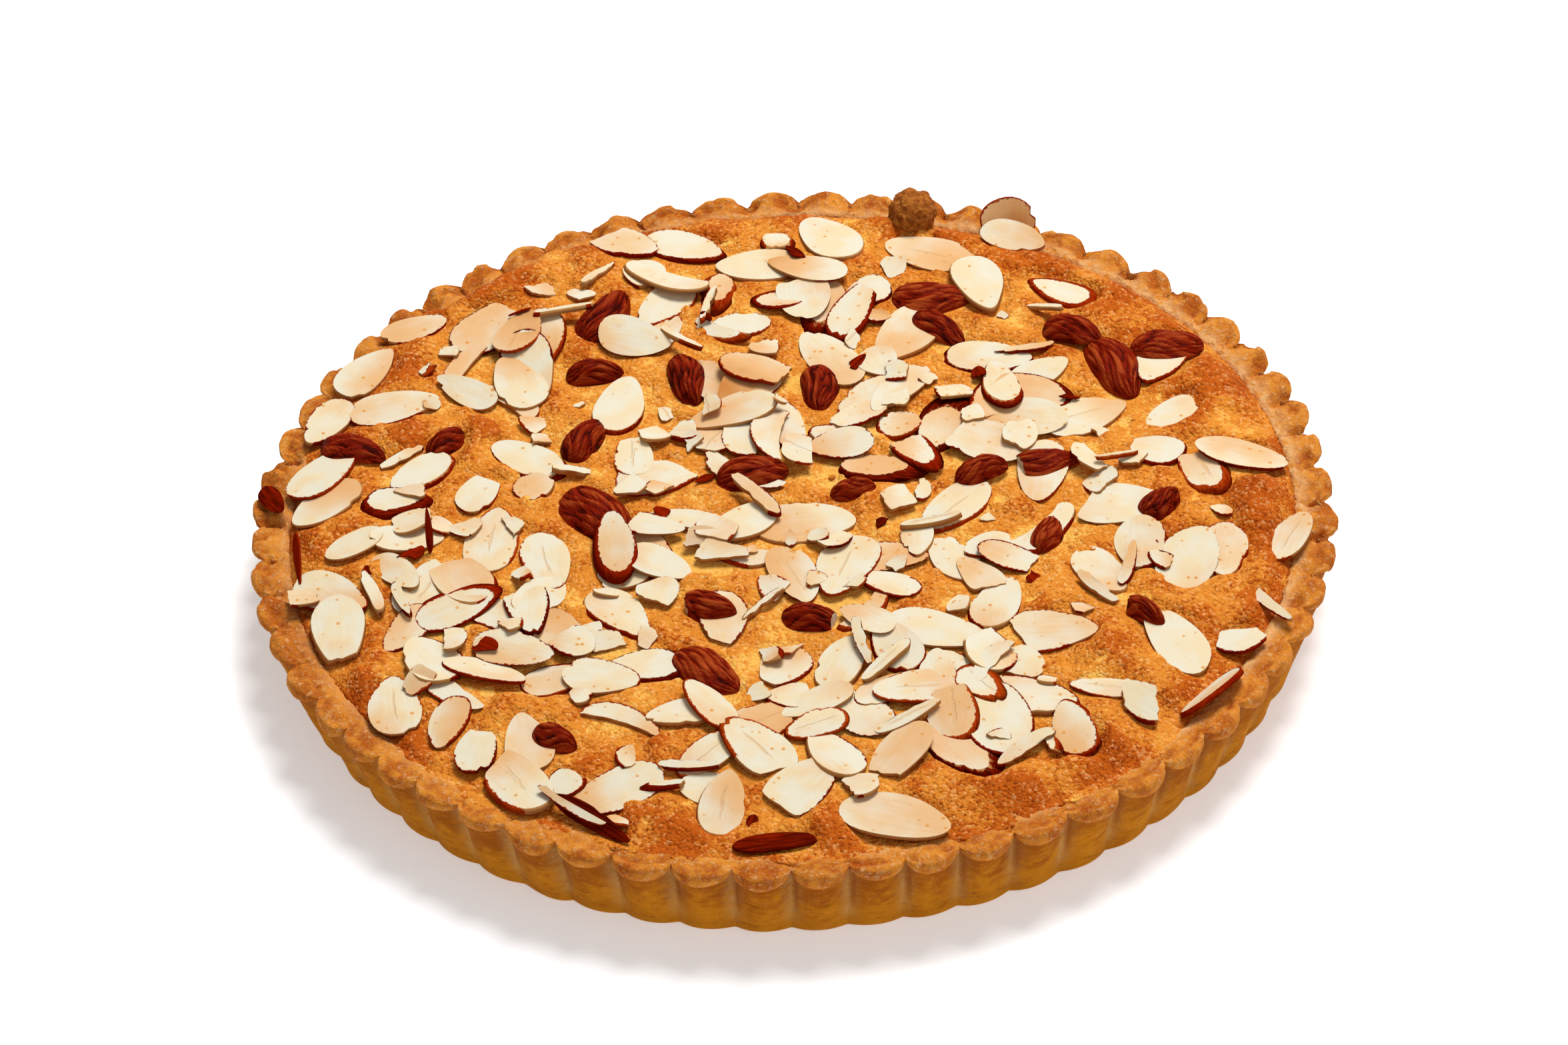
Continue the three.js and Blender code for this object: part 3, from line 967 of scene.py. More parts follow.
    def mark_rim(self, piece: bpy.types.Object, spots: CaseSpots, places: np.ndarray) -> None:
        """Press furrows and crinkles into the rim, and store where it browned, where shade is painted in its
        pressed hollows, and where it is pale, with painted light towards +X.

        Args:
            piece: the case.
            spots: what is known of each vertex.
            places: the shaped vertices, which are pressed in and written to the case.
        """
        tart = self.sizes
        wave, on_rim, pinched = spots.wave, spots.on_rim, spots.pinched
        waved = spots.radius + wave
        off_furrow = (spots.radius - tart.rim_radius + self.furrow_inset + 0.8 * wave) / self.furrow_width
        torn = smooth_step(soft_noise(places, size=3.6, seed=9.1), -0.15, 0.3)
        furrow = on_rim * np.exp(-(off_furrow**2)) * torn
        ribbed = on_rim * smooth_step(waved, tart.rim_radius - 7.5, tart.rim_radius - 4)
        crinkle = soft_noise(places * [1, 1, 0.5], size=self.crinkle_size, seed=27.3)
        hollow = ribbed * pinched * smooth_step(-crinkle, 0.0, 0.4)
        places[:, 2] -= self.furrow_depth * furrow + self.crinkle_depth * hollow
        set_places(piece, places)
        spotted = smooth_step(soft_noise(places, size=3.0, seed=15.5), -0.1, 0.4)
        crown = ribbed * smooth_step(spots.bulge, 0.45, 0.9) * spotted
        # Crowns are browned; the pressed hollows get painted shade; both go into the furrow attribute.
        browned = np.maximum(self.crown_browning * crown * (1 - pinched), self.groove_shade * hollow)
        set_attribute(piece, "furrow", np.maximum(furrow, browned))
        slope = on_rim * (1 - smooth_step(waved, tart.inner_radius, tart.rim_radius - 4.5))
        # The inner slope is paler; its rise towards +X is painted light.
        set_attribute(piece, "inner", slope * (0.35 + 0.65 * smooth_step(places[:, 0], -80, 60)))

    def mark_wall(self, piece: bpy.types.Object, spots: CaseSpots) -> None:
        """Store where the wall is paler in its creases, golden, cracked, or painted with shade.

        Args:
            piece: the case.
            spots: what is known of each vertex.
        """
        across, level = spots.across, spots.height + spots.wave
        wall = 1 - spots.on_rim
        wall_height = self.sizes.wall_height
        # Painted shade: a thin dark line beside each crease, high on the wall, and a darker flank on each
        # lobe; both join the real cracks in the crack attribute.
        crack_and_shade = wall * np.exp(-(((across - self.crease_shade_place) / self.crease_shade_width) ** 2))
        crack_and_shade = crack_and_shade * smooth_step(level, 0.1 * wall_height, 0.6 * wall_height)
        flank = self.flank_shade * wall * smooth_step(-across, -0.1, 0.7)
        pale_band = np.exp(-(((1 - np.abs(across)) / self.pale_crease_width) ** 2))
        set_attribute(piece, "crease", pale_band * wall * smooth_step(spots.height, 1, 6))
        set_attribute(piece, "foot", self.foot_shade * (1 - smooth_step(level, *self.foot_span)))
        set_attribute(piece, "crack", np.maximum(spots.crack, np.maximum(crack_and_shade, flank)))

    def cracks(self, spots: CaseSpots) -> np.ndarray:
        """Shallow crescent creases part-way up some lobes.

        Args:
            spots: what is known of each vertex.

        Returns:
            How deep in a crease each vertex lies, from 0 to 1.
        """
        drawn = {name: values[spots.lobe] for name, values in self.lobes.items()}
        middle = (drawn["crack_place"] - 0.5) * 0.7
        off = (spots.across - middle) / (0.35 + 0.3 * drawn["crack_width"])
        level = self.sizes.wall_height * (0.3 + 0.5 * drawn["crack_level"])
        off_level = (spots.height - level - self.crack_dip * off**2) / self.crack_width
        cracked = drawn["crack"] < self.crack_share
        return cracked * np.exp(-(off_level**2)) * np.clip(1 - off**2, 0, 1)

    def smooth(self, piece: bpy.types.Object) -> None:
        """Shade the case smooth, but for its sharp edges.

        Args:
            piece: the case.
        """
        bpy.ops.object.select_all(action="DESELECT")
        piece.select_set(True)
        bpy.context.view_layer.objects.active = piece
        bpy.ops.object.shade_smooth_by_angle(angle=self.smooth_angle)


@dataclass
class Frangipane:
    """The baked filling, with an uneven top that browned most on its mounds and towards the rim."""

    sizes: TartSizes
    edge_level: float = -0.4
    shoulder_width: float = 17.0
    shoulder_rise: float = 2.8
    centre_sag: float = 1.0
    centre_reach: float = 60.0
    overflow_angle: float = math.radians(128)
    overflow_spread: float = 0.45
    overflow_reach: float = 16.0
    overflow_rise: float = 2.6
    mound_count: int = 48
    mound_spread: Span = (7, 14)
    mound_rise: Span = (-1.5, 2.4)
    mound_seed: int = 17
    grid_cells: int = 264
    edge_drop: float = 0.3
    edge_round: float = 2.4
    lap_reach: float = 4.6
    lap_cover: float = 0.9
    lap_front: float = 0.7
    least_lap: float = 0.14
    lap_ragged: Span = (-0.2, 0.6)
    front_span: Span = (30, 100)
    dry_sides: tuple[Span, ...] = ((math.radians(20), 40), (math.radians(198), 98))
    dry_fade: float = 14.0
    dryness: float = 0.9
    puff: float = 0.5
    swell: float = 3.4
    bury: float = 0.9
    dip: float = 0.4
    billow_size: float = 16.0
    lump_size: float = 9.0
    lump_rise: float = 1.2
    crumb_size: float = 3.1
    crumb_rise: float = 0.7
    grit_size: float = 1.5
    grit_rise: float = 0.3
    hole_size: float = 4.5
    hole_depth: float = 1.0
    first_browning: float = 0.53
    mounds: list[tuple[float, float, float, float]] = field(default_factory=list)

    def __post_init__(self) -> None:
        """Draw the mounds and hollows."""
        draws = Draws(self.mound_seed)
        for _ in range(self.mound_count):
            angle = TURN * draws.next()
            distance = self.sizes.fill_radius * math.sqrt(draws.next())
            spread = draws.between(self.mound_spread)
            rise = draws.between(self.mound_rise)
            self.mounds.append((distance * math.cos(angle), distance * math.sin(angle), spread, rise))

    def height(self, x: np.ndarray, y: np.ndarray) -> np.ndarray:
        """Height of the bare top.

        Args:
            x: places along X.
            y: places along Y.

        Returns:
            Heights over the underside of the tart.
        """
        distance = np.hypot(x, y)
        from_edge = np.maximum(self.sizes.fill_radius - distance, 0)
        shoulder = 1 - (1 - np.minimum(from_edge / self.shoulder_width, 1)) ** 2
        sag = self.centre_sag * np.exp(-((distance / self.centre_reach) ** 2))
        off_overflow = (np.arctan2(y, x) - self.overflow_angle) / self.overflow_spread
        overflow = self.overflow_rise * np.exp(-(off_overflow**2) - (from_edge / self.overflow_reach) ** 2)
        relief = np.zeros_like(distance)
        for mound_x, mound_y, spread, rise in self.mounds:
            relief += rise * np.exp(-((x - mound_x) ** 2 + (y - mound_y) ** 2) / spread**2)
        edge = self.sizes.wall_height + self.edge_level
        return edge + (self.shoulder_rise + relief) * shoulder - sag + overflow

    def build(self, nuts_near: CoverAt, crowded: CoverAt) -> bpy.types.Object:
        """Model the filling and store what its finish reads.

        Args:
            nuts_near: how close almonds lie to places, from 0 to 1.
            crowded: how thickly almonds lie around places, from 0 to 1.

        Returns:
            The filling's object.
        """
        radius = self.sizes.fill_radius
        piece = self.lay_disc()
        tops = len(piece.data.vertices)
        self.close_below(piece)
        places = vertex_places(piece)
        top = places[:tops]
        x, y = top[:, 0], top[:, 1]
        distance = np.hypot(x, y)
        flat = top * [1, 1, 0]
        near = nuts_near(x, y)
        wide_open = 1 - smooth_step(crowded(x, y), 0.15, 0.62)
        billows = soft_noise(flat, size=self.billow_size, seed=17.9)
        lumps = soft_noise(flat, size=self.lump_size, seed=11.3)
        holes = smooth_step(soft_noise(flat, size=self.hole_size, seed=2.9), 0.42, 0.7)
        swollen = self.puff + self.swell * wide_open * (0.6 + 0.9 * billows)
        relief = self.relief(flat, near, swollen + self.lump_rise * lumps - self.hole_depth * holes)
        lapped = self.lapping(flat, distance)
        falling = (1 - np.clip((radius - distance) / self.edge_round, 0, 1)) ** 2
        uneven = 1 + 0.9 * soft_noise(flat, size=6.0, seed=21.0)
        drop = self.edge_drop * uneven * falling * (1 - lapped)
        top[:, 2] = self.height(x, y) + relief * smooth_step(radius - distance, 0.0, 5.0) - drop
        self.lap_over(top, distance, lapped)
        set_places(piece, places)
        piece.data.polygons.foreach_set("use_smooth", np.ones(len(piece.data.polygons), bool))
        raised = lumps + wide_open * (0.4 + 2.6 * billows)
        set_attribute(piece, "browning", self.browning(places, tops, near, holes, raised))
        return piece

    def lay_disc(self) -> bpy.types.Object:
        """Lay a fine grid at the wall's height and draw its square out to a disc.

        Returns:
            The disc's object.
        """
        tart = self.sizes
        level = (0, 0, tart.wall_height * MM)
        cells = {"x_subdivisions": self.grid_cells, "y_subdivisions": self.grid_cells}
        bpy.ops.object.select_all(action="DESELECT")
        bpy.ops.mesh.primitive_grid_add(**cells, size=2 * MM, location=level)
        piece = bpy.context.object
        piece.name = "baked_filling"
        bpy.ops.object.transform_apply(location=True)
        places = vertex_places(piece)
        side_x, side_y = places[:, 0].copy(), places[:, 1].copy()
        places[:, 0] = tart.fill_radius * side_x * np.sqrt(1 - side_y**2 / 2)
        places[:, 1] = tart.fill_radius * side_y * np.sqrt(1 - side_x**2 / 2)
        set_places(piece, places)
        return piece

    def relief(self, flat: np.ndarray, near: np.ndarray, broad: np.ndarray) -> np.ndarray:
        """Raise open ground into a crumbly skin, and bury and press in what lies by the almonds.

        Args:
            flat: vertices of the top, without their height.
            near: how close almonds lie to each of them.
            broad: the larger swellings and hollows.

        Returns:
            Height to add at each vertex.
        """
        crumb = soft_noise(flat, size=self.crumb_size, seed=5.1)
        grit = soft_noise(flat, size=self.grit_size, seed=8.7)
        open_ground = 1 - smooth_step(near, 0.12, 0.55)
        raised = (broad + self.crumb_rise * crumb + self.grit_rise * grit) * open_ground
        edges = smooth_step(near, 0.1, 0.4) * (1 - smooth_step(near, 0.55, 0.8))
        burying = smooth_step(soft_noise(flat, size=7.0, seed=33.0) + 0.3 * crumb, 0.15, 0.5)
        return raised + self.bury * edges * burying - self.dip * smooth_step(near, 0.35, 0.6)

    def lapping(self, flat: np.ndarray, distance: np.ndarray) -> np.ndarray:
        """How far the filling ran over the rim at each vertex's angle.

        Args:
            flat: vertices of the top, without their height.
            distance: their distance from the axis.

        Returns:
            Numbers from 0 to 1.
        """
        around = flat / np.maximum(distance, 1)[:, None] * self.sizes.fill_radius
        ragged = soft_noise(around, size=18.0, seed=6.3) + 0.3 * soft_noise(around, size=6.0, seed=7.7)
        front = smooth_step(-flat[:, 1], *self.front_span)
        lapped = np.clip(smooth_step(ragged, *self.lap_ragged) + self.lap_front * front, 0, 1)
        for angle, start in self.dry_sides:
            towards = around[:, 0] * math.cos(angle) + around[:, 1] * math.sin(angle)
            lapped *= 1 - self.dryness * smooth_step(towards, start, start + self.dry_fade)
        return np.maximum(lapped, self.least_lap)

    def lap_over(self, top: np.ndarray, distance: np.ndarray, lapped: np.ndarray) -> None:
        """Draw the edge out over the rim where the filling ran onto it.

        Args:
            top: vertices of the top, which are moved.
            distance: their distance from the axis.
            lapped: how far the filling runs over at each vertex's angle, from 0 to 1.
        """
        edge = self.sizes.fill_radius
        out = distance + self.lap_reach * lapped * smooth_step(distance, edge - 6, edge)
        top[:, :2] *= (out / np.maximum(distance, 1))[:, None]
        rim_radii = self.sizes.inner_radius + np.array([-0.6, 0.0, 1.3, 3.5, 5.5])
        rim_heights = self.sizes.wall_height + np.array([-1.8, -0.7, 0.1, 0.75, 1.0])
        share = np.clip((out - edge + 1) / (self.lap_reach * lapped + 1), 0, 1)
        skin = np.interp(out, rim_radii, rim_heights) + self.lap_cover * (1 - share**2) - 0.15
        laid = np.where(share > 0.999, skin - 0.2, np.maximum(top[:, 2], skin))
        top[:, 2] += (laid - top[:, 2]) * smooth_step(lapped, 0.0, 0.4) * (out > edge - 0.5)

    def close_below(self, piece: bpy.types.Object) -> None:
        """Draw the disc's edge down to the case's floor and close it there.

        Args:
            piece: the disc.
        """
        tart = self.sizes
        floor_radius = tart.inner_radius - tart.wall_slope * (tart.wall_height - tart.floor) - tart.gap
        shrink = floor_radius / tart.fill_radius
        edit_mesh(piece, "DESELECT")
        bpy.ops.mesh.select_mode(type="EDGE")
        bpy.ops.mesh.select_non_manifold(extend=False)
        down = (0, 0, (tart.floor - tart.wall_height) * MM)
        bpy.ops.mesh.extrude_edges_move(TRANSFORM_OT_translate={"value": down})
        bpy.ops.transform.resize(value=(shrink, shrink, 1), center_override=(0, 0, tart.floor * MM))
        bpy.ops.mesh.edge_face_add()
        bpy.ops.mesh.select_all(action="SELECT")
        bpy.ops.mesh.normals_make_consistent(inside=False)
        leave_edit()

    def browning(
        self, places: np.ndarray, tops: int, near: np.ndarray, holes: np.ndarray, lumps: np.ndarray
    ) -> np.ndarray:
        """How far each vertex has browned.

        Args:
            places: vertices in millimetres.
            tops: number of vertices of the top, which come first.
            near: how close almonds lie to each vertex of the top.
            holes: how far each vertex of the top lies in a torn hollow.
            lumps: how high each vertex of the top lies on a lump or mound.

        Returns:
            Browning of each vertex, from 0 to 1.
        """
        top = places[:tops]
        distance = np.hypot(top[:, 0], top[:, 1])
        radius = self.sizes.fill_radius
        ring = smooth_step(distance, 0.35 * radius, 0.97 * radius)
        ring = ring + 1.8 * smooth_step(distance, 0.88 * radius, 1.02 * radius)
        shoulder = self.sizes.wall_height + self.edge_level + self.shoulder_rise
        swell = np.clip((top[:, 2] - shoulder) / 3.0, -1, 1)
        browned = np.full(len(places), 0.5)
        covered = smooth_step(near, 0.35, 0.95)
        baked = self.first_browning + 0.085 * ring + 0.06 * swell + 0.2 * lumps
        browned[:tops] = baked - 0.13 * covered - 0.4 * holes
        return np.clip(browned, 0, 1)


@dataclass
class Nut:
    """One piece of almond: where it lies and how large it is."""

    kind: NutKind
    x: float
    y: float
    heading: float
    half_length: float
    half_width: float
    thickness: float
    slant: float
    pitch: float = 0.0
    roll: float = 0.0
    z: float = 0.0
    toast: float = 0.0
    skinned: bool = False

    def axes(self) -> np.ndarray:
        """Give the piece's lengthways, sideways and upwards directions as rows.

        Returns:
            The three rows.
        """
        cos, sin = math.cos(self.heading), math.sin(self.heading)
        lengthways = np.array([cos, sin, self.pitch])
        lengthways /= np.linalg.norm(lengthways)
        upwards = np.cross(lengthways, [-sin, cos, self.roll])
        upwards /= np.linalg.norm(upwards)
        return np.stack([lengthways, np.cross(upwards, lengthways), upwards])


@dataclass
class Bed:
    """A height map of what lies on the tart so far, on which the next piece settles."""

    filling: Frangipane
    cell: float = 1.5
    sink: float = 0.8
    lift_share: float = 0.5
    steepest: float = 0.6
    rest_rings: tuple[float, ...] = (0.35, 0.7, 1.0)
    rest_spokes: int = 8
    least_cover: float = 0.05
    near_passes: int = 3
    wide_passes: int = 24

    def __post_init__(self) -> None:
        """Start from the bare filling and the rim."""
        tart = self.filling.sizes
        self.half = math.ceil(tart.rim_radius / self.cell)
        self.row = 2 * self.half + 1
        steps = (np.arange(self.row) - self.half) * self.cell
        self.grid_x, self.grid_y = np.meshgrid(steps, steps)
        on_rim = np.hypot(self.grid_x, self.grid_y) > tart.fill_radius - self.cell
        bare = self.filling.height(self.grid_x, self.grid_y)
        self.heights = np.where(on_rim, tart.rim_top + self.sink + tart.gap, bare)
        self.bare = self.heights.copy()
        self.closeness = np.zeros_like(self.heights)
        self.crowding = np.zeros_like(self.heights)

    def cells(self, x: np.ndarray, y: np.ndarray) -> tuple[np.ndarray, np.ndarray]:
        """Find the map's rows and columns under places.

        Args:
            x: places along X.
            y: places along Y.

        Returns:
            The rows and the columns.
        """
        column = np.floor(np.asarray(x) / self.cell + 0.5).astype(int) + self.half
        row = np.floor(np.asarray(y) / self.cell + 0.5).astype(int) + self.half
        return np.clip(row, 0, self.row - 1), np.clip(column, 0, self.row - 1)

    def settle(self, nut: Nut) -> None:
        """Lay a piece along the mean slope under it, pressed in a little where it touches.

        Args:
            nut: the piece.
        """
        cos, sin = math.cos(nut.heading), math.sin(nut.heading)
        spokes = TURN * np.arange(self.rest_spokes) / self.rest_spokes
        rings = np.array(self.rest_rings)[:, None]
        along = (nut.half_length * rings * np.cos(spokes)).ravel()
        across = (nut.half_width * rings * np.sin(spokes)).ravel()
        x, y = nut.x + cos * along - sin * across, nut.y + sin * along + cos * across
        under = self.heights[self.cells(x, y)]
        mean = under.mean()
        pitch = (along * under).sum() / (along**2).sum()
        roll = (across * under).sum() / (across**2).sum()
        nut.pitch = min(max(pitch, -self.steepest), self.steepest)
        nut.roll = min(max(roll, -self.steepest), self.steepest)
        over = under - mean - nut.pitch * along - nut.roll * across
        nut.z = mean + self.lift_share * over.max() - self.sink
        self.cover(nut)

    def cover(self, nut: Nut) -> None:
        """Raise the map to the top of a piece.

        Args:
            nut: the piece.
        """
        cos, sin = math.cos(nut.heading), math.sin(nut.heading)
        reach = math.ceil(nut.half_length / self.cell)
        steps = np.arange(-reach, reach + 1)
        step_x, step_y = np.meshgrid(steps, steps)
        along = (cos * step_x + sin * step_y) * self.cell
        across = (cos * step_y - sin * step_x) * self.cell
        held = (along / nut.half_length) ** 2 + (across / nut.half_width) ** 2 <= 1
        under = self.cells(nut.x + step_x[held] * self.cell, nut.y + step_y[held] * self.cell)
        top = nut.z + nut.pitch * along[held] + nut.roll * across[held] + nut.thickness
        self.heights[under] = np.maximum(self.heights[under], top)

    def note_cover(self) -> None:
        """Work out how close almonds lie to each cell and how crowded it is around it, once all are laid."""
        covered = (self.heights > self.bare + self.least_cover).astype(float)
        for step in range(self.wide_passes):
            padded = np.pad(covered, 1, mode="edge")
            covered = sum(padded[i : i + self.row, j : j + self.row] for i in range(3) for j in range(3)) / 9
            if step + 1 == self.near_passes:
                self.closeness = covered
        self.crowding = covered

    def eased(self, cells: np.ndarray, x: np.ndarray, y: np.ndarray) -> np.ndarray:
        """Read a map at places, eased between its cells.

        Args:
            cells: the map.
            x: places along X.
            y: places along Y.

        Returns:
            One number for each place.
        """
        across = np.clip(np.asarray(x) / self.cell + self.half, 0, self.row - 1.001)
        along = np.clip(np.asarray(y) / self.cell + self.half, 0, self.row - 1.001)
        column, row = np.floor(across).astype(int), np.floor(along).astype(int)
        right, up = across - column, along - row
        low = cells[row, column] * (1 - right) + cells[row, column + 1] * right
        high = cells[row + 1, column] * (1 - right) + cells[row + 1, column + 1] * right
        return low * (1 - up) + high * up

    def nuts_near(self, x: np.ndarray, y: np.ndarray) -> np.ndarray:
        """How close almonds lie to places on the filling, from 0 to 1."""
        return self.eased(self.closeness, x, y)

    def crowded(self, x: np.ndarray, y: np.ndarray) -> np.ndarray:
        """How thickly almonds lie around places on the filling, from 0 to 1."""
        return self.eased(self.crowding, x, y)


@dataclass(frozen=True)
class Strewing:
    """One handful of pieces strewn over the filling: how many, how long and how they fall."""

    kind: NutKind
    count: int
    length: Span
    tries: int = 14
    reach: float = 0.93
    drift: Span = (0.0, 0.0)
    tilt: float = 0.0


@dataclass(frozen=True)
class Leaning:
    """A piece that stands or leans instead of lying flat."""

    kind: NutKind
    x: float
    y: float
    heading: float
    length: float
    width: float
    thickness: float
    pitch: float = 0.0
    roll: float = 0.0
    lift: float = 0.0
    toast: float = 0.0
    skinned: bool = False


@dataclass
class Topping:
    """All almonds on the tart, in the order in which they fell."""

    filling: Frangipane
    bed: Bed
    seed: int = 5
    thinning: float = 0.55
    lean: float = 0.05
    heel_berth: float = 5.0
    slice_slant: Span = (0.84, 0.99)
    loose_sink: float = 0.35
    loose_lift: float = 0.6
    roll_share: float = 1.5
    # Width as a share of the length, and thickness.
    proportions: dict[NutKind, tuple[Span, Span]] = field(
        default_factory=lambda: {
            NutKind.SLICE: ((0.5, 0.6), (1.1, 1.7)),
            NutKind.BROKEN: ((0.7, 0.95), (1.1, 1.7)),
            NutKind.HEEL: ((0.5, 0.64), (3.0, 4.2)),
            NutKind.SHARD: ((0.55, 0.9), (0.7, 1.3)),
            NutKind.SLIVER: ((0.18, 0.28), (1.3, 2.2)),
            NutKind.FLECK: ((0.35, 0.6), (1.0, 1.1)),
        }
    )
    loose_slice: tuple[Span, Span] = ((0.42, 0.7), (0.8, 1.3))
    large: Strewing = Strewing(NutKind.SLICE, 60, (19, 24))
    smaller: tuple[Strewing, ...] = (
        Strewing(NutKind.SLICE, 24, (14, 19)),
        Strewing(NutKind.BROKEN, 15, (10, 15)),
    )
    extra: tuple[Strewing, ...] = (
        Strewing(NutKind.SLICE, 64, (15, 24), tries=4, reach=0.87, drift=(-1.0, -3.0), tilt=0.11),
        Strewing(NutKind.SHARD, 78, (5, 13), tries=5, drift=(-2.0, -4.0), tilt=0.2),
        Strewing(NutKind.SLIVER, 22, (11, 18), tries=6, reach=0.9, tilt=0.1),
        Strewing(NutKind.FLECK, 16, (4, 9), tries=4, reach=0.94),
    )
    # Degrees round the tart, distance from its axis, heading in degrees and length.
    rim_slices: tuple[Listed, ...] = (
        (140, 115, 20, 17), (150, 115, 55, 20), (160, 115, 60, 18), (170, 110, 50, 21),
        (-160, 110, -85, 24), (-145, 110, -85, 20), (-125, 110, -60, 24), (-80, 110, -20, 25),
        (-10, 115, 60, 17), (110, 110, -35, 19), (60, 115, -30, 17), (5, 105, -15, 22),
    )
    heels: tuple[Listed, ...] = (
        (120, 85, 60, 20), (180, 45, -60, 23), (80, 45, -90, 16), (30, 90, -70, 22), (30, 105, 10, 18),
        (40, 90, -40, 16), (115, 55, -75, 17), (65, 85, -10, 19), (60, 75, -45, 16), (165, 105, -30, 17),
        (125, 15, 5, 17), (10, 60, 5, 17), (-5, 85, 35, 12), (-85, 40, -25, 15), (-120, 40, -20, 14),
        (-30, 90, -50, 12), (-110, 60, -45, 19), (10, 45, 15, 13), (15, 15, 5, 11), (-15, 60, 70, 12),
        (160, 85, 45, 11), (130, 70, 0, 14), (150, 55, 60, 15), (-125, 95, -30, 11),
    )
    leaning: tuple[Leaning, ...] = (
        Leaning(NutKind.HUSK, -83, -9, 90, 12, 1.7, 0.9, pitch=6.0, lift=4.5),
        Leaning(
            NutKind.SLICE, 56, 106, -90, 16, 13, 1.4,
            pitch=-1.5, roll=-0.2, lift=-3.2, toast=0.95, skinned=True,
        ),
        Leaning(NutKind.HUSK, -113, -11, -84, 18, 3.2, 0.6, roll=2.5, lift=1.0),
        Leaning(NutKind.HUSK, -6, -113, 7, 21, 5.0, 0.9, roll=0.6, lift=-0.8),
        Leaning(NutKind.SLIVER, -50, -100, -38, 19, 3.6, 2.2, roll=0.4, lift=-0.3),
        Leaning(NutKind.HUSK, -46, -104, -40, 21, 4.6, 1.0, roll=0.9, lift=-1.1),
        Leaning(NutKind.SLIVER, 106.5, -43, -61, 18, 3.0, 1.5, lift=-0.5),
        Leaning(NutKind.SHARD, 99, -54, 20, 13, 10, 1.2, lift=-0.4),
        Leaning(NutKind.SLICE, 91, -72.5, 47, 20, 9, 1.8, roll=-0.7, lift=-1.0, skinned=True),
        Leaning(NutKind.SHARD, 75, -76, -30, 13, 9, 2.8, roll=0.3, lift=0.4),
        Leaning(NutKind.HUSK, -120, 11, -60, 10, 5, 0.6, roll=0.5, lift=0.3),
    )
    nuts: list[Nut] = field(default_factory=list)

    def strew_all(self) -> None:
        """Lay every piece: those of the solids first, then the smaller ones."""
        draws = Draws(self.seed)
        self.strew(self.large, draws)
        self.lay_listed(NutKind.SLICE, self.rim_slices, draws)
        self.lay_listed(NutKind.HEEL, self.heels, draws)
        for strewing in self.smaller:
            self.strew(strewing, draws)
        self.bed.sink, self.bed.lift_share = self.loose_sink, self.loose_lift
        self.proportions[NutKind.SLICE] = self.loose_slice
        for strewing in self.extra:
            self.strew(strewing, draws)
        for piece in self.leaning:
            self.stand(piece)
        self.bed.note_cover()

    def strew(self, strewing: Strewing, draws: Draws) -> None:
        """Lay one handful, each piece on the widest of several random spots and tilted at random.

        Args:
            strewing: the handful.
            draws: the run of numbers.
        """
        for _ in range(strewing.count):
            x, y = self.open_spot(strewing, draws)
            heading = TURN * draws.next()
            self.lay(strewing.kind, x, y, heading, draws.between(strewing.length), draws)
            if strewing.tilt:
                self.nuts[-1].pitch += strewing.tilt * draws.between((-1, 1))
                self.nuts[-1].roll += self.roll_share * strewing.tilt * draws.between((-1, 1))

    def lay_listed(self, kind: NutKind, listed: Sequence[Listed], draws: Draws) -> None:
        """Lay pieces at listed places.

        Args:
            kind: what they are.
            listed: angle, distance, heading and length of each.
            draws: the run of numbers.
        """
        for angle, distance, heading, length in listed:
            at = math.radians(angle)
            x, y = distance * math.cos(at), distance * math.sin(at)
            self.lay(kind, x, y, math.radians(heading), length, draws)

    def lay(self, kind: NutKind, x: float, y: float, heading: float, length: float, draws: Draws) -> None:
        """Lay one piece, with its uneven sizes drawn in a fixed order.

        Args:
            kind: what it is.
            x: its place along X.
            y: its place along Y.
            heading: direction of its length.
            length: its whole length.
            draws: the run of numbers.
        """
        width_share, thick = self.proportions[kind]
        half_length = length / 2
        half_width = half_length * draws.between(width_share)
        thickness = draws.between(thick)
        slant = draws.between(self.slice_slant)
        nut = Nut(kind, x, y, heading, half_length, half_width, thickness, slant)
        self.bed.settle(nut)
        self.nuts.append(nut)

    def stand(self, piece: Leaning) -> None:
        """Set up one standing or leaning piece on what lies under it.

        Args:
            piece: how it stands.
        """
        heading = math.radians(piece.heading)
        square = self.slice_slant[1]
        half_length, half_width = piece.length / 2, piece.width / 2
        nut = Nut(piece.kind, piece.x, piece.y, heading, half_length, half_width, piece.thickness, square)
        self.bed.settle(nut)
        nut.pitch += piece.pitch
        nut.roll += piece.roll
        nut.z += piece.lift
        nut.toast = piece.toast
        nut.skinned = piece.skinned
        self.nuts.append(nut)

    def open_spot(self, strewing: Strewing, draws: Draws) -> tuple[float, float]:
        """Find the widest of several random spots, by its distance to what lies there already.

        Args:
            strewing: how many spots to try, how far out they reach and which way they drift.
            draws: the run of numbers.

        Returns:
            The spot's x and y.
        """
        fill_radius = self.filling.sizes.fill_radius
        laid = np.array([(nut.x, nut.y) for nut in self.nuts]).reshape(-1, 2)
        berth = np.array([self.heel_berth if nut.kind is NutKind.HEEL else 0.0 for nut in self.nuts])
        best_room, best = -math.inf, (0.0, 0.0)
        for _ in range(strewing.tries):
            angle = TURN * draws.next()
            reach = strewing.reach - self.lean * math.cos(angle)
            distance = fill_radius * reach * math.sqrt(draws.next())
            x = distance * math.cos(angle) + strewing.drift[0]
            y = distance * math.sin(angle) + strewing.drift[1]
            room = fill_radius
            if len(laid):
                room = min(room, (np.hypot(x - laid[:, 0], y - laid[:, 1]) - berth).min())
            room /= 1 + self.thinning * (distance / fill_radius) ** 2
            if room > best_room:
                best_room, best = room, (x, y)
        return best

    def of_kinds(self, *kinds: NutKind) -> list[Nut]:
        """Give the pieces of some kinds, in order."""
        return [nut for nut in self.nuts if nut.kind in kinds]


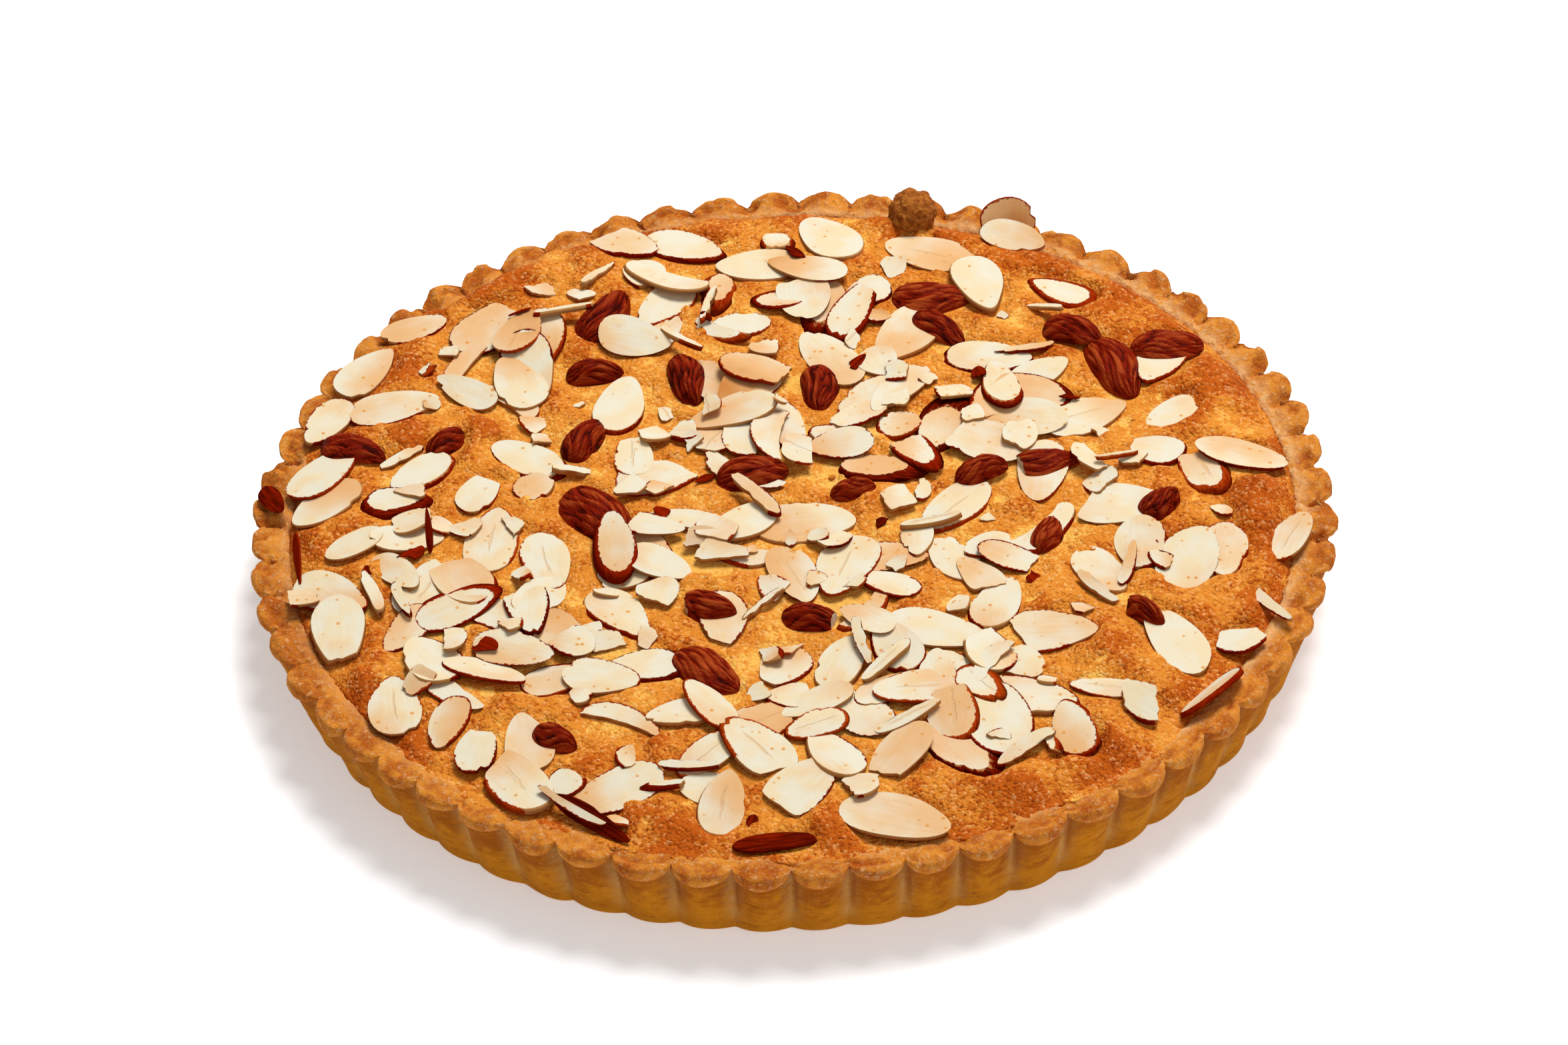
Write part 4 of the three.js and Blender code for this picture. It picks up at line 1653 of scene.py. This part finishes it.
@dataclass(frozen=True)
class Break:
    """An uneven break that takes away one side of a piece."""

    direction: float
    reach: float
    curve: float
    jag: float
    phase: float

    def trim(self, points: np.ndarray, inset: float = 0.0) -> tuple[np.ndarray, np.ndarray]:
        """Draw points beyond the break back onto it.

        Args:
            points: rows that start with along and across.
            inset: how far short of the break to stay.

        Returns:
            The moved points, and which of them were moved.
        """
        out = np.array([math.cos(self.direction), math.sin(self.direction)])
        side = np.array([-out[1], out[0]])
        along, across = points[:, :2] @ out, points[:, :2] @ side
        ripple = np.sin(1.3 * across + self.phase) + 0.6 * np.sin(3.1 * across + 2.3 * self.phase)
        limit = self.reach + self.curve * across**2 + self.jag * ripple - inset
        cut = along > limit
        moved = points.copy()
        moved[:, :2] += np.outer(np.where(cut, limit - along, 0.0), out)
        return moved, cut


class NutMesh:
    """A joined mesh of many almond pieces, with what their finish reads."""

    def __init__(self) -> None:
        """Start empty."""
        self.places: list[np.ndarray] = []
        self.faces: list[list[int]] = []
        self.smooth: list[bool] = []
        self.skin: list[float] = []
        self.rind: list[np.ndarray] = []
        self.toast: list[np.ndarray] = []
        self.tone: list[np.ndarray] = []
        self.grain: list[np.ndarray] = []
        self.within: list[np.ndarray] = []
        self.count = 0

    def add(
        self,
        nut: Nut,
        local: np.ndarray,
        faces: list[tuple[list[int], float, bool]],
        rind: np.ndarray,
        toast: np.ndarray,
        shade: Union[float, np.ndarray],
    ) -> None:
        """Add one piece.

        Args:
            nut: where the piece lies.
            local: vertices as rows of along, across and up.
            faces: corners, whether skin may show and smoothness of each face.
            rind: how much skin each vertex holds.
            toast: how toasted each vertex is.
            shade: how light the piece's skin is, as a whole or at each vertex.
        """
        self.places.append(local @ nut.axes() + [nut.x, nut.y, nut.z])
        for corners, skin, smooth in faces:
            self.faces.append([self.count + corner for corner in corners])
            self.skin.append(skin)
            self.smooth.append(smooth)
        self.rind.append(rind)
        self.toast.append(toast)
        self.tone.append(np.zeros(len(local)) + shade)
        self.grain.append(local + [0, 0, 40.0 * len(self.places)])
        self.within.append(local * [1 / nut.half_length, 1 / nut.half_width, 0])
        self.count += len(local)

    def to_object(self, name: str) -> bpy.types.Object:
        """Make the joined mesh's object.

        Args:
            name: the object's name.

        Returns:
            The object.
        """
        mesh = bpy.data.meshes.new(name)
        places = np.concatenate(self.places) * MM
        mesh.from_pydata(places.tolist(), [], self.faces)
        mesh.polygons.foreach_set("use_smooth", np.array(self.smooth, bool))
        piece = bpy.data.objects.new(name, mesh)
        bpy.context.scene.collection.objects.link(piece)
        set_attribute(piece, "skin", np.array(self.skin), "FACE")
        for attribute in ("rind", "toast", "tone", "grain", "within"):
            set_attribute(piece, attribute, np.concatenate(getattr(self, attribute)))
        return piece


@dataclass
class AlmondCutter:
    """Cuts almond pieces: flat slabs of a kernel, with skin round their edge, and domed heels."""

    seed: int
    outline_points: int = 30
    pointedness: Span = (0.12, 0.34)
    border: float = 1.2
    inner_inset: float = 0.05
    rind_depth: Span = (0.4, 0.88)
    bare_share: float = 0.2
    patchy_share: float = 0.48
    slanted_share: float = 0.26
    slanted_by: Span = (0.06, 0.2)
    square_cut: float = 0.985
    bare_slant: float = 0.35
    wide_below: float = 0.55
    chip_slant: Span = (0.84, 0.98)
    tip_break_share: float = 0.3
    half_break_share: float = 0.1
    side_break_share: float = 0.5
    end_break_share: float = 0.6
    heel_break_share: float = 0.3
    face_shift: float = 0.8
    face_rag: float = 0.15
    scorch_share: float = 0.05
    scorch: float = 0.5
    nick_share: float = 0.3
    nick_depth: Span = (0.4, 1.4)
    break_jag: Span = (0.04, 0.28)
    heel_rows: int = 34
    heel_columns: int = 60
    heel_ends: float = 0.487
    heel_start: float = 0.38
    wrinkles: float = 3.3
    edge_toast: float = 0.55
    thinned: float = 0.72
    fleck_thickness: float = 0.4

    def __post_init__(self) -> None:
        """Start the run of numbers that makes pieces differ."""
        self.draws = Draws(self.seed)

    def breaks(self, nut: Nut) -> list[Break]:
        """Draw the breaks of a piece by its kind.

        Args:
            nut: the piece.

        Returns:
            Its breaks.
        """
        draws = self.draws
        length, width = nut.half_length, nut.half_width
        made = []

        def add(direction: float, reach: float, curve: float = 0.0) -> None:
            """Add one break."""
            made.append(Break(direction, reach, curve, draws.between(self.break_jag), TURN * draws.next()))

        if nut.kind is NutKind.SLICE:
            if draws.chance(self.tip_break_share):
                tip = draws.between((-0.5, 0.5)) + math.pi * draws.chance(0.5)
                add(tip, length * draws.between((0.45, 0.8)))
            elif draws.chance(self.half_break_share):
                add(math.pi / 2, width * draws.between((-0.15, 0.2)), draws.between((0.008, 0.02)))
        elif nut.kind is NutKind.BROKEN:
            add(draws.between((-0.35, 0.35)), length * draws.between((0.75, 0.95)))
        elif nut.kind is NutKind.SHARD:
            add(draws.between((-0.6, 0.6)), length * draws.between((0.3, 0.8)))
            add(math.pi + draws.between((-0.7, 0.7)), length * draws.between((0.4, 0.9)))
            if draws.chance(self.side_break_share):
                add(math.pi / 2 + draws.between((-0.5, 0.5)), width * draws.between((0.1, 0.7)))
        elif nut.kind is NutKind.SLIVER:
            add(math.pi / 2 + draws.between((-0.06, 0.06)), width * draws.between((0.35, 0.7)))
            if draws.chance(self.end_break_share):
                add(draws.between((-0.5, 0.5)), length * draws.between((0.75, 0.95)))
        elif nut.kind is NutKind.FLECK:
            for _ in range(3):
                add(TURN * draws.next(), length * draws.between((0.25, 0.6)))
        elif nut.kind is NutKind.HEEL and draws.chance(self.heel_break_share):
            add(draws.between((-0.4, 0.4)) + math.pi * draws.chance(0.5), length * draws.between((0.5, 0.8)))
        return made

    def toasting(self, local: np.ndarray, nut: Nut) -> np.ndarray:
        """Draw how toasted a piece is and towards which side it is more so.

        Args:
            local: vertices as rows of along, across and up.
            nut: the piece.

        Returns:
            Toasting of each vertex.
        """
        draws = self.draws
        level = draws.next()
        base = 0.5 * level if level < 0.5 else 0.9 * level - 0.2
        if draws.chance(self.scorch_share):
            base += self.scorch
        angle = TURN * draws.next()
        slope = draws.between((0.1, 0.7))
        slope_place = (local[:, 0] * math.cos(angle) + local[:, 1] * math.sin(angle)) / nut.half_length
        return base + nut.toast + slope * slope_place

    def outline(self, nut: Nut) -> np.ndarray:
        """Draw a slice's outline: one end narrower, one side fuller.

        Args:
            nut: the piece.

        Returns:
            Rows of along and across for the wider face.
        """
        draws = self.draws
        angles = TURN * np.arange(self.outline_points) / self.outline_points
        narrow = draws.between(self.pointedness) * (1 if draws.chance(0.8) else -1)
        belly = draws.between((-0.14, 0.14))
        wobble = 1 + 0.02 * np.sin(3 * angles + TURN * draws.next())
        wobble = wobble + 0.012 * np.sin(5 * angles + TURN * draws.next())
        across = np.sin(angles) * (1 - narrow * np.cos(angles)) + belly * (np.cos(angles) ** 2 - 1) * 0.5
        for _ in range(2):
            if draws.chance(self.nick_share):
                wobble[int(draws.next() * len(wobble))] -= draws.between(self.nick_depth) / nut.half_length
        return np.stack([nut.half_length * np.cos(angles) * wobble, nut.half_width * across * wobble], 1)

    def smaller_face(self, nut: Nut, wide: np.ndarray, slanted: bool, bare: bool) -> np.ndarray:
        """Draw the outline of a slab's smaller face, which lies off the middle.

        Args:
            nut: the piece.
            wide: outline of the larger face.
            slanted: whether the knife went through at a slant.
            bare: whether the slab lacks skin somewhere, and so has steeper sides.

        Returns:
            Rows of along and across.
        """
        draws = self.draws
        size = nut.slant if nut.kind in (NutKind.SLICE, NutKind.BROKEN) else draws.between(self.chip_slant)
        if bare:
            size = 1 - (1 - size) * self.bare_slant
        if slanted:
            size -= draws.between(self.slanted_by)
        turn = TURN * draws.next()
        off_middle = np.array([nut.half_length * math.cos(turn), nut.half_width * math.sin(turn)])
        shift = (1 - size) * self.face_shift * off_middle
        uneven = np.array([draws.between((-0.5, 0.5)) for _ in wide])[:, None]
        ragged = 1 + (1 - size) * self.face_rag * uneven
        return wide * size * ragged + shift

    def held_skin(self, count: int) -> np.ndarray:
        """Draw where round its outline a slab still has its skin, from 0 to 1.

        Args:
            count: points of the outline.

        Returns:
            One number for each point.
        """
        draws = self.draws
        luck, phase, limit = draws.next(), TURN * draws.next(), draws.between((-0.9, 0.3))
        if luck < self.bare_share:
            return np.zeros(count)
        if luck > self.bare_share + self.patchy_share:
            return np.ones(count)
        around = TURN * np.arange(count) / count
        patches = np.sin(around + phase) + 0.5 * np.sin(3 * around + 2.7 * phase)
        return smooth_step(patches, limit - 0.2, limit + 0.2)

    def slab(self, mesh: NutMesh, nut: Nut) -> None:
        """Cut a slab from a kernel and add it to a joined mesh.

        Args:
            mesh: the joined mesh.
            nut: the piece.
        """
        draws = self.draws
        wide = self.outline(nut)
        cuts = self.breaks(nut)
        held = np.ones(len(wide)) if nut.skinned else self.held_skin(len(wide))
        bare = held.min() == 0
        slanted = draws.chance(self.slanted_share) and nut.slant < self.square_cut and not bare
        narrow = self.smaller_face(nut, wide, slanted, bare)
        lower, upper = (wide, narrow) if draws.chance(self.wide_below) or slanted else (narrow, wide)
        middle = upper.mean(0)
        inward = np.minimum(self.border / np.maximum(np.hypot(*(upper - middle).T), 0.1), 0.4)
        inner = upper + (middle - upper) * inward[:, None]
        thickness = self.fleck_thickness if nut.kind is NutKind.FLECK else nut.thickness * self.thinned
        base, top = nut.thickness - thickness, nut.thickness
        cut_any = np.zeros(len(wide), bool)
        rings = []
        for ring, up, inset in ((lower, base, 0.0), (upper, top, 0.0), (inner, top, self.inner_inset)):
            for cut in cuts:
                ring, cut_here = cut.trim(ring, inset)
                cut_any |= cut_here & (inset == 0.0)
            rings.append(np.column_stack([ring, np.full(len(ring), up)]))
        local = np.concatenate(rings)
        if nut.kind is NutKind.FLECK:
            local[:, 2] -= 0.3 + draws.between((0.02, 0.06)) * local[:, 1] ** 2 + 0.015 * local[:, 0] ** 2
        count = len(wide)
        all_skin = nut.kind in (NutKind.FLECK, NutKind.HUSK)
        held = held * ~cut_any
        rind = np.concatenate([held, held * draws.between(self.rind_depth), np.zeros(count)])
        if all_skin:
            rind = np.ones(3 * count)
        faces = []
        for i in range(count):
            j = (i + 1) % count
            faces.append(([i, j, count + j, count + i], 1.0, True))
            faces.append(([count + i, count + j, 2 * count + j, 2 * count + i], 0.9, False))
        faces.append((list(range(2 * count, 3 * count)), float(all_skin), all_skin))
        faces.append((list(range(count))[::-1], float(all_skin), False))
        toast = self.toasting(local, nut)
        toast[:count] += self.edge_toast
        shade = draws.next() * 0.5 - 0.1 if all_skin else draws.next()
        mesh.add(nut, local, faces, rind, toast, shade)

    def heel(self, mesh: NutMesh, nut: Nut) -> None:
        """Cut the domed end that slicing leaves over, with its wrinkled skin, and add it to a joined mesh.

        Args:
            mesh: the joined mesh.
            nut: the piece.
        """
        draws = self.draws
        rows, columns = self.heel_rows, self.heel_columns
        start = self.heel_start
        along = np.sin(np.linspace(-self.heel_ends, self.heel_ends, rows) * math.pi)
        roll = np.linspace(start, math.pi - start, columns)
        u, psi = np.meshgrid(along, roll, indexing="ij")
        girth = np.sqrt(1 - u**2)
        narrow = draws.between(self.pointedness)
        seed = draws.between((0, 50))
        lopsided = 1 + 0.1 * np.sin(3.1 * u + seed) * np.cos(psi)
        across = nut.half_width * girth * (1 - narrow * u) * np.cos(psi) / math.cos(start) * lopsided
        dome = np.clip((np.sin(psi) - math.sin(start)) / (1 - math.sin(start)), 0, 1)
        sway = 0.35 * np.sin(2.2 * u + seed)
        over_dome = ((psi + sway) * self.wrinkles).ravel()
        wrinkle_place = np.column_stack([(u * 1.2).ravel(), over_dome, np.zeros(u.size)])
        furrows = soft_noise(wrinkle_place, size=1.0, seed=seed).reshape(u.shape)
        fine = soft_noise(wrinkle_place * [2.0, 2.3, 1.0], size=1.0, seed=seed + 9).reshape(u.shape)
        ridges = np.minimum(np.abs(furrows) * 3.2, 1) ** 0.7
        relief = (0.95 * ridges + 0.3 * fine - 0.3) * np.sqrt(dome) * girth
        up = 1.08 * nut.thickness * girth**0.9 * dome + relief
        local = np.column_stack([nut.half_length * u.ravel(), across.ravel(), up.ravel()])
        cut_any = np.zeros(len(local), bool)
        for cut in self.breaks(nut):
            local, cut_here = cut.trim(local)
            cut_any |= cut_here
        faces = []
        for row in range(rows - 1):
            for column in range(columns - 1):
                a = row * columns + column
                corners = [a, a + columns, a + columns + 1, a + 1]
                faces.append((corners, float(not cut_any[corners].all()), True))
            a, b = row * columns, row * columns + columns - 1
            faces.append(([a, b, b + columns, a + columns], 0.0, False))
        faces.append((list(range(columns)), 1.0, False))
        last = (rows - 1) * columns
        faces.append((list(range(last, last + columns))[::-1], 1.0, False))
        # The wrinkles' ridges are painted lighter and their furrows darker, as light and shade on the relief,
        # over a random tone for the piece.
        shade = draws.next() * 0.3 - 0.45 + (1.1 * ridges + 0.3 * fine).ravel()
        mesh.add(nut, local, faces, np.ones(len(local)), self.toasting(local, nut), shade)


@dataclass
class Crumbs:
    """Crumbs of filling and nut, and one large caramelised crumb at the back edge."""

    filling: Frangipane
    bed: Bed
    angle: float = math.radians(73)
    place: float = 113.0
    radius: float = 5.7
    stands: float = 0.75
    large_tone: float = 0.6
    small_count: int = 90
    small_size: Span = (0.35, 0.9)
    small_reach: float = 0.96
    small_stands: float = 0.35
    bare_below: float = 0.25
    seed: int = 41

    def large_crumb(self) -> bpy.types.Object:
        """Model the large crumb as a knobbly ball.

        Returns:
            The crumb's object.
        """
        x, y = self.place * math.cos(self.angle), self.place * math.sin(self.angle)
        z = float(self.filling.height(np.array(x), np.array(y))) + self.radius * self.stands
        middle = (x * MM, y * MM, z * MM)
        bpy.ops.object.select_all(action="DESELECT")
        bpy.ops.mesh.primitive_ico_sphere_add(subdivisions=5, radius=self.radius * MM, location=middle)
        piece = bpy.context.object
        piece.name = "caramel_crumb"
        bpy.ops.object.transform_apply(location=True)
        everywhere = np.ones(len(piece.data.vertices))
        roughen(piece, "knobs", everywhere, size=3.0, depth=2.2)
        roughen(piece, "grit", everywhere, size=1.1, depth=0.9)
        bpy.ops.object.shade_smooth()
        set_attribute(piece, "tone", np.full(len(everywhere), self.large_tone))
        return piece

    def bare_spot(self, draws: Draws) -> tuple[float, float]:
        """Find a spot on the filling where no almond lies.

        Args:
            draws: the run of numbers.

        Returns:
            The spot's x and y.
        """
        while True:
            angle = TURN * draws.next()
            distance = self.filling.sizes.fill_radius * self.small_reach * math.sqrt(draws.next())
            x, y = distance * math.cos(angle), distance * math.sin(angle)
            if self.bed.nuts_near(np.array(x), np.array(y)) < self.bare_below:
                return x, y

    def small_crumbs(self) -> bpy.types.Object:
        """Strew small crumbs as one joined mesh.

        Returns:
            The crumbs' object.
        """
        draws = Draws(self.seed)
        bpy.ops.object.select_all(action="DESELECT")
        bpy.ops.mesh.primitive_ico_sphere_add(subdivisions=1, radius=1.0)
        ball = bpy.context.object
        shape = np.array([vertex.co for vertex in ball.data.vertices])
        corners = np.array([polygon.vertices for polygon in ball.data.polygons])
        bpy.data.objects.remove(ball)
        places, faces, tones = [], [], []
        for index in range(self.small_count):
            x, y = self.bare_spot(draws)
            size = draws.between(self.small_size)
            z = self.bed.heights[self.bed.cells(x, y)] + size * self.small_stands
            uneven = np.array([[draws.between((0.7, 1.25))] for _ in shape])
            flat = [size, size * draws.between((0.6, 1.0)), size * draws.between((0.5, 0.9))]
            places.append(shape * uneven * flat + [x, y, z])
            faces.append(corners + index * len(shape))
            tones.append(np.full(len(shape), draws.between((-0.2, 0.5))))
        mesh = bpy.data.meshes.new("small_crumbs")
        mesh.from_pydata((np.concatenate(places) * MM).tolist(), [], np.concatenate(faces).tolist())
        piece = bpy.data.objects.new("small_crumbs", mesh)
        bpy.context.scene.collection.objects.link(piece)
        set_attribute(piece, "tone", np.concatenate(tones))
        return piece


@dataclass(frozen=True)
class Studio:
    """A pale floor, soft light from above and behind, and the camera at the photograph's angle."""

    image_width: float = 2352.0
    focal_px: float = 8500.0
    distance: float = 1.319
    elevation: float = math.radians(39.89)
    roll: float = math.radians(-2.82)
    offset_px: Span = (16.6, 90.5)
    sensor: float = 36.0
    nearest: float = 0.01
    floor_size: float = 12.0
    floor_colour: Colour = (0.8, 0.8, 0.8, 1.0)
    floor_glow: float = 0.46
    floor_roughness: float = 0.9
    sky: float = 0.3
    lights: tuple[tuple[str, Triple, float, float], ...] = (
        ("key_light", (0.3, 0.5, 1.35), 0.6, 23.0),
        ("fill_light", (0.8, -1.1, 1.0), 1.4, 4.5),
    )

    def build(self) -> None:
        """Set the floor, lights and camera."""
        self.lay_floor()
        for light in self.lights:
            self.light(*light)
        world = bpy.data.worlds.new("studio_sky")
        bpy.context.scene.world = world
        world.use_nodes = True
        background = world.node_tree.nodes["Background"].inputs
        background["Color"].default_value = (1, 1, 1, 1)
        background["Strength"].default_value = self.sky
        bpy.context.scene.view_settings.view_transform = "Standard"
        self.place_camera()

    def lay_floor(self) -> None:
        """Lay a plain pale floor under the tart."""
        bpy.ops.object.select_all(action="DESELECT")
        bpy.ops.mesh.primitive_plane_add(size=self.floor_size)
        floor = bpy.context.object
        floor.name = "floor"
        shader = Shader("pale_floor")
        plain = {"Base Color": self.floor_colour, "Roughness": self.floor_roughness}
        glow = {"Emission Color": self.floor_colour, "Emission Strength": self.floor_glow}
        surface = shader.node("ShaderNodeBsdfPrincipled", {}, {**plain, **glow})
        shader.node("ShaderNodeOutputMaterial", {}, {"Surface": surface})
        floor.data.materials.append(shader.material)

    def light(self, name: str, place: Triple, size: float, power: float) -> None:
        """Add a square soft light that faces the tart.

        Args:
            name: the light's name.
            place: where it hangs, in metres.
            size: length of its sides in metres.
            power: in watts.
        """
        lamp = bpy.data.lights.new(name, "AREA")
        lamp.size = size
        lamp.energy = power
        holder = bpy.data.objects.new(name, lamp)
        holder.location = place
        holder.rotation_euler = Vector(place).to_track_quat("Z", "Y").to_euler()
        bpy.context.scene.collection.objects.link(holder)

    def place_camera(self) -> None:
        """Stand the camera where the fitted view has it."""
        back = Vector((0, -math.cos(self.elevation), math.sin(self.elevation)))
        above = Vector((0, math.sin(self.elevation), math.cos(self.elevation)))
        right = Vector((1, 0, 0)) * math.cos(self.roll) + above * math.sin(self.roll)
        above = above * math.cos(self.roll) - Vector((1, 0, 0)) * math.sin(self.roll)
        per_px = self.distance / self.focal_px
        aim = (above * self.offset_px[1] - right * self.offset_px[0]) * per_px
        spot = back * self.distance
        away = (spot - aim).normalized()
        side = above.cross(away).normalized()
        turn = Matrix((side, away.cross(side), away)).transposed()
        camera = bpy.data.cameras.new("photo_camera")
        camera.sensor_width = self.sensor
        camera.lens = self.focal_px / self.image_width * self.sensor
        camera.clip_start = self.nearest
        holder = bpy.data.objects.new("photo_camera", camera)
        holder.matrix_world = Matrix.Translation(spot) @ turn.to_4x4()
        bpy.context.scene.collection.objects.link(holder)
        bpy.context.scene.camera = holder


def dress(piece: bpy.types.Object, material: bpy.types.Material, slot: str, *replaced: str) -> None:
    """Give a piece its finish and tie it to the part.

    Args:
        piece: the piece.
        material: its finish.
        slot: not used.
        replaced: nodes that the piece stands for.
    """
    piece.data.materials.clear()
    piece.data.materials.append(material)
    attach(piece, "root")
    if replaced:
        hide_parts(*replaced)
    LOG.info("%s: %d faces", piece.name, len(piece.data.polygons))


def main() -> None:
    """Build the tart piece by piece, then the studio."""
    logging.basicConfig(level=logging.INFO, format="%(name)s: %(message)s")
    sizes = TartSizes()
    filling = Frangipane(sizes)
    bed = Bed(filling)
    topping = Topping(filling, bed)
    topping.strew_all()
    dress(PastryCase(sizes).build(), BakedPastry().material(), "pastry", "pastry_case")
    dress(filling.build(bed.nuts_near, bed.crowded), BakedFrangipane().material(), "frangipane", "frangipane")
    almond = SlicedAlmond().material()
    husk_tones = {"skin": tone("7C1804"), "skin_dark": tone("3C0602"), "skin_ridge": tone("A8461A")}
    husk = SlicedAlmond("almond_husk", **husk_tones, gloss=0.02).material()
    groups = {
        "almond_slices": ((NutKind.SLICE, NutKind.BROKEN), almond, "almond"),
        "almond_shards": ((NutKind.SHARD,), almond, "almond"),
        "almond_slivers": ((NutKind.SLIVER,), almond, "almond"),
        "almond_heels": ((NutKind.HEEL,), husk, "almond_skin"),
        "skin_flecks": ((NutKind.FLECK, NutKind.HUSK), almond, "almond_skin"),
    }
    for seed, (name, (kinds, material, slot)) in enumerate(groups.items(), start=FIRST_CUT_SEED):
        cutter = AlmondCutter(seed)
        mesh = NutMesh()
        for nut in topping.of_kinds(*kinds):
            if nut.kind is NutKind.HEEL:
                cutter.heel(mesh, nut)
            else:
                cutter.slab(mesh, nut)
        dress(mesh.to_object(name), material, slot)
    crumbs = Crumbs(filling, bed)
    caramel = CaramelCrumb().material()
    dress(crumbs.large_crumb(), caramel, "frangipane")
    dress(crumbs.small_crumbs(), caramel, "frangipane")
    Studio().build()


if __name__ == "__main__":
    main()
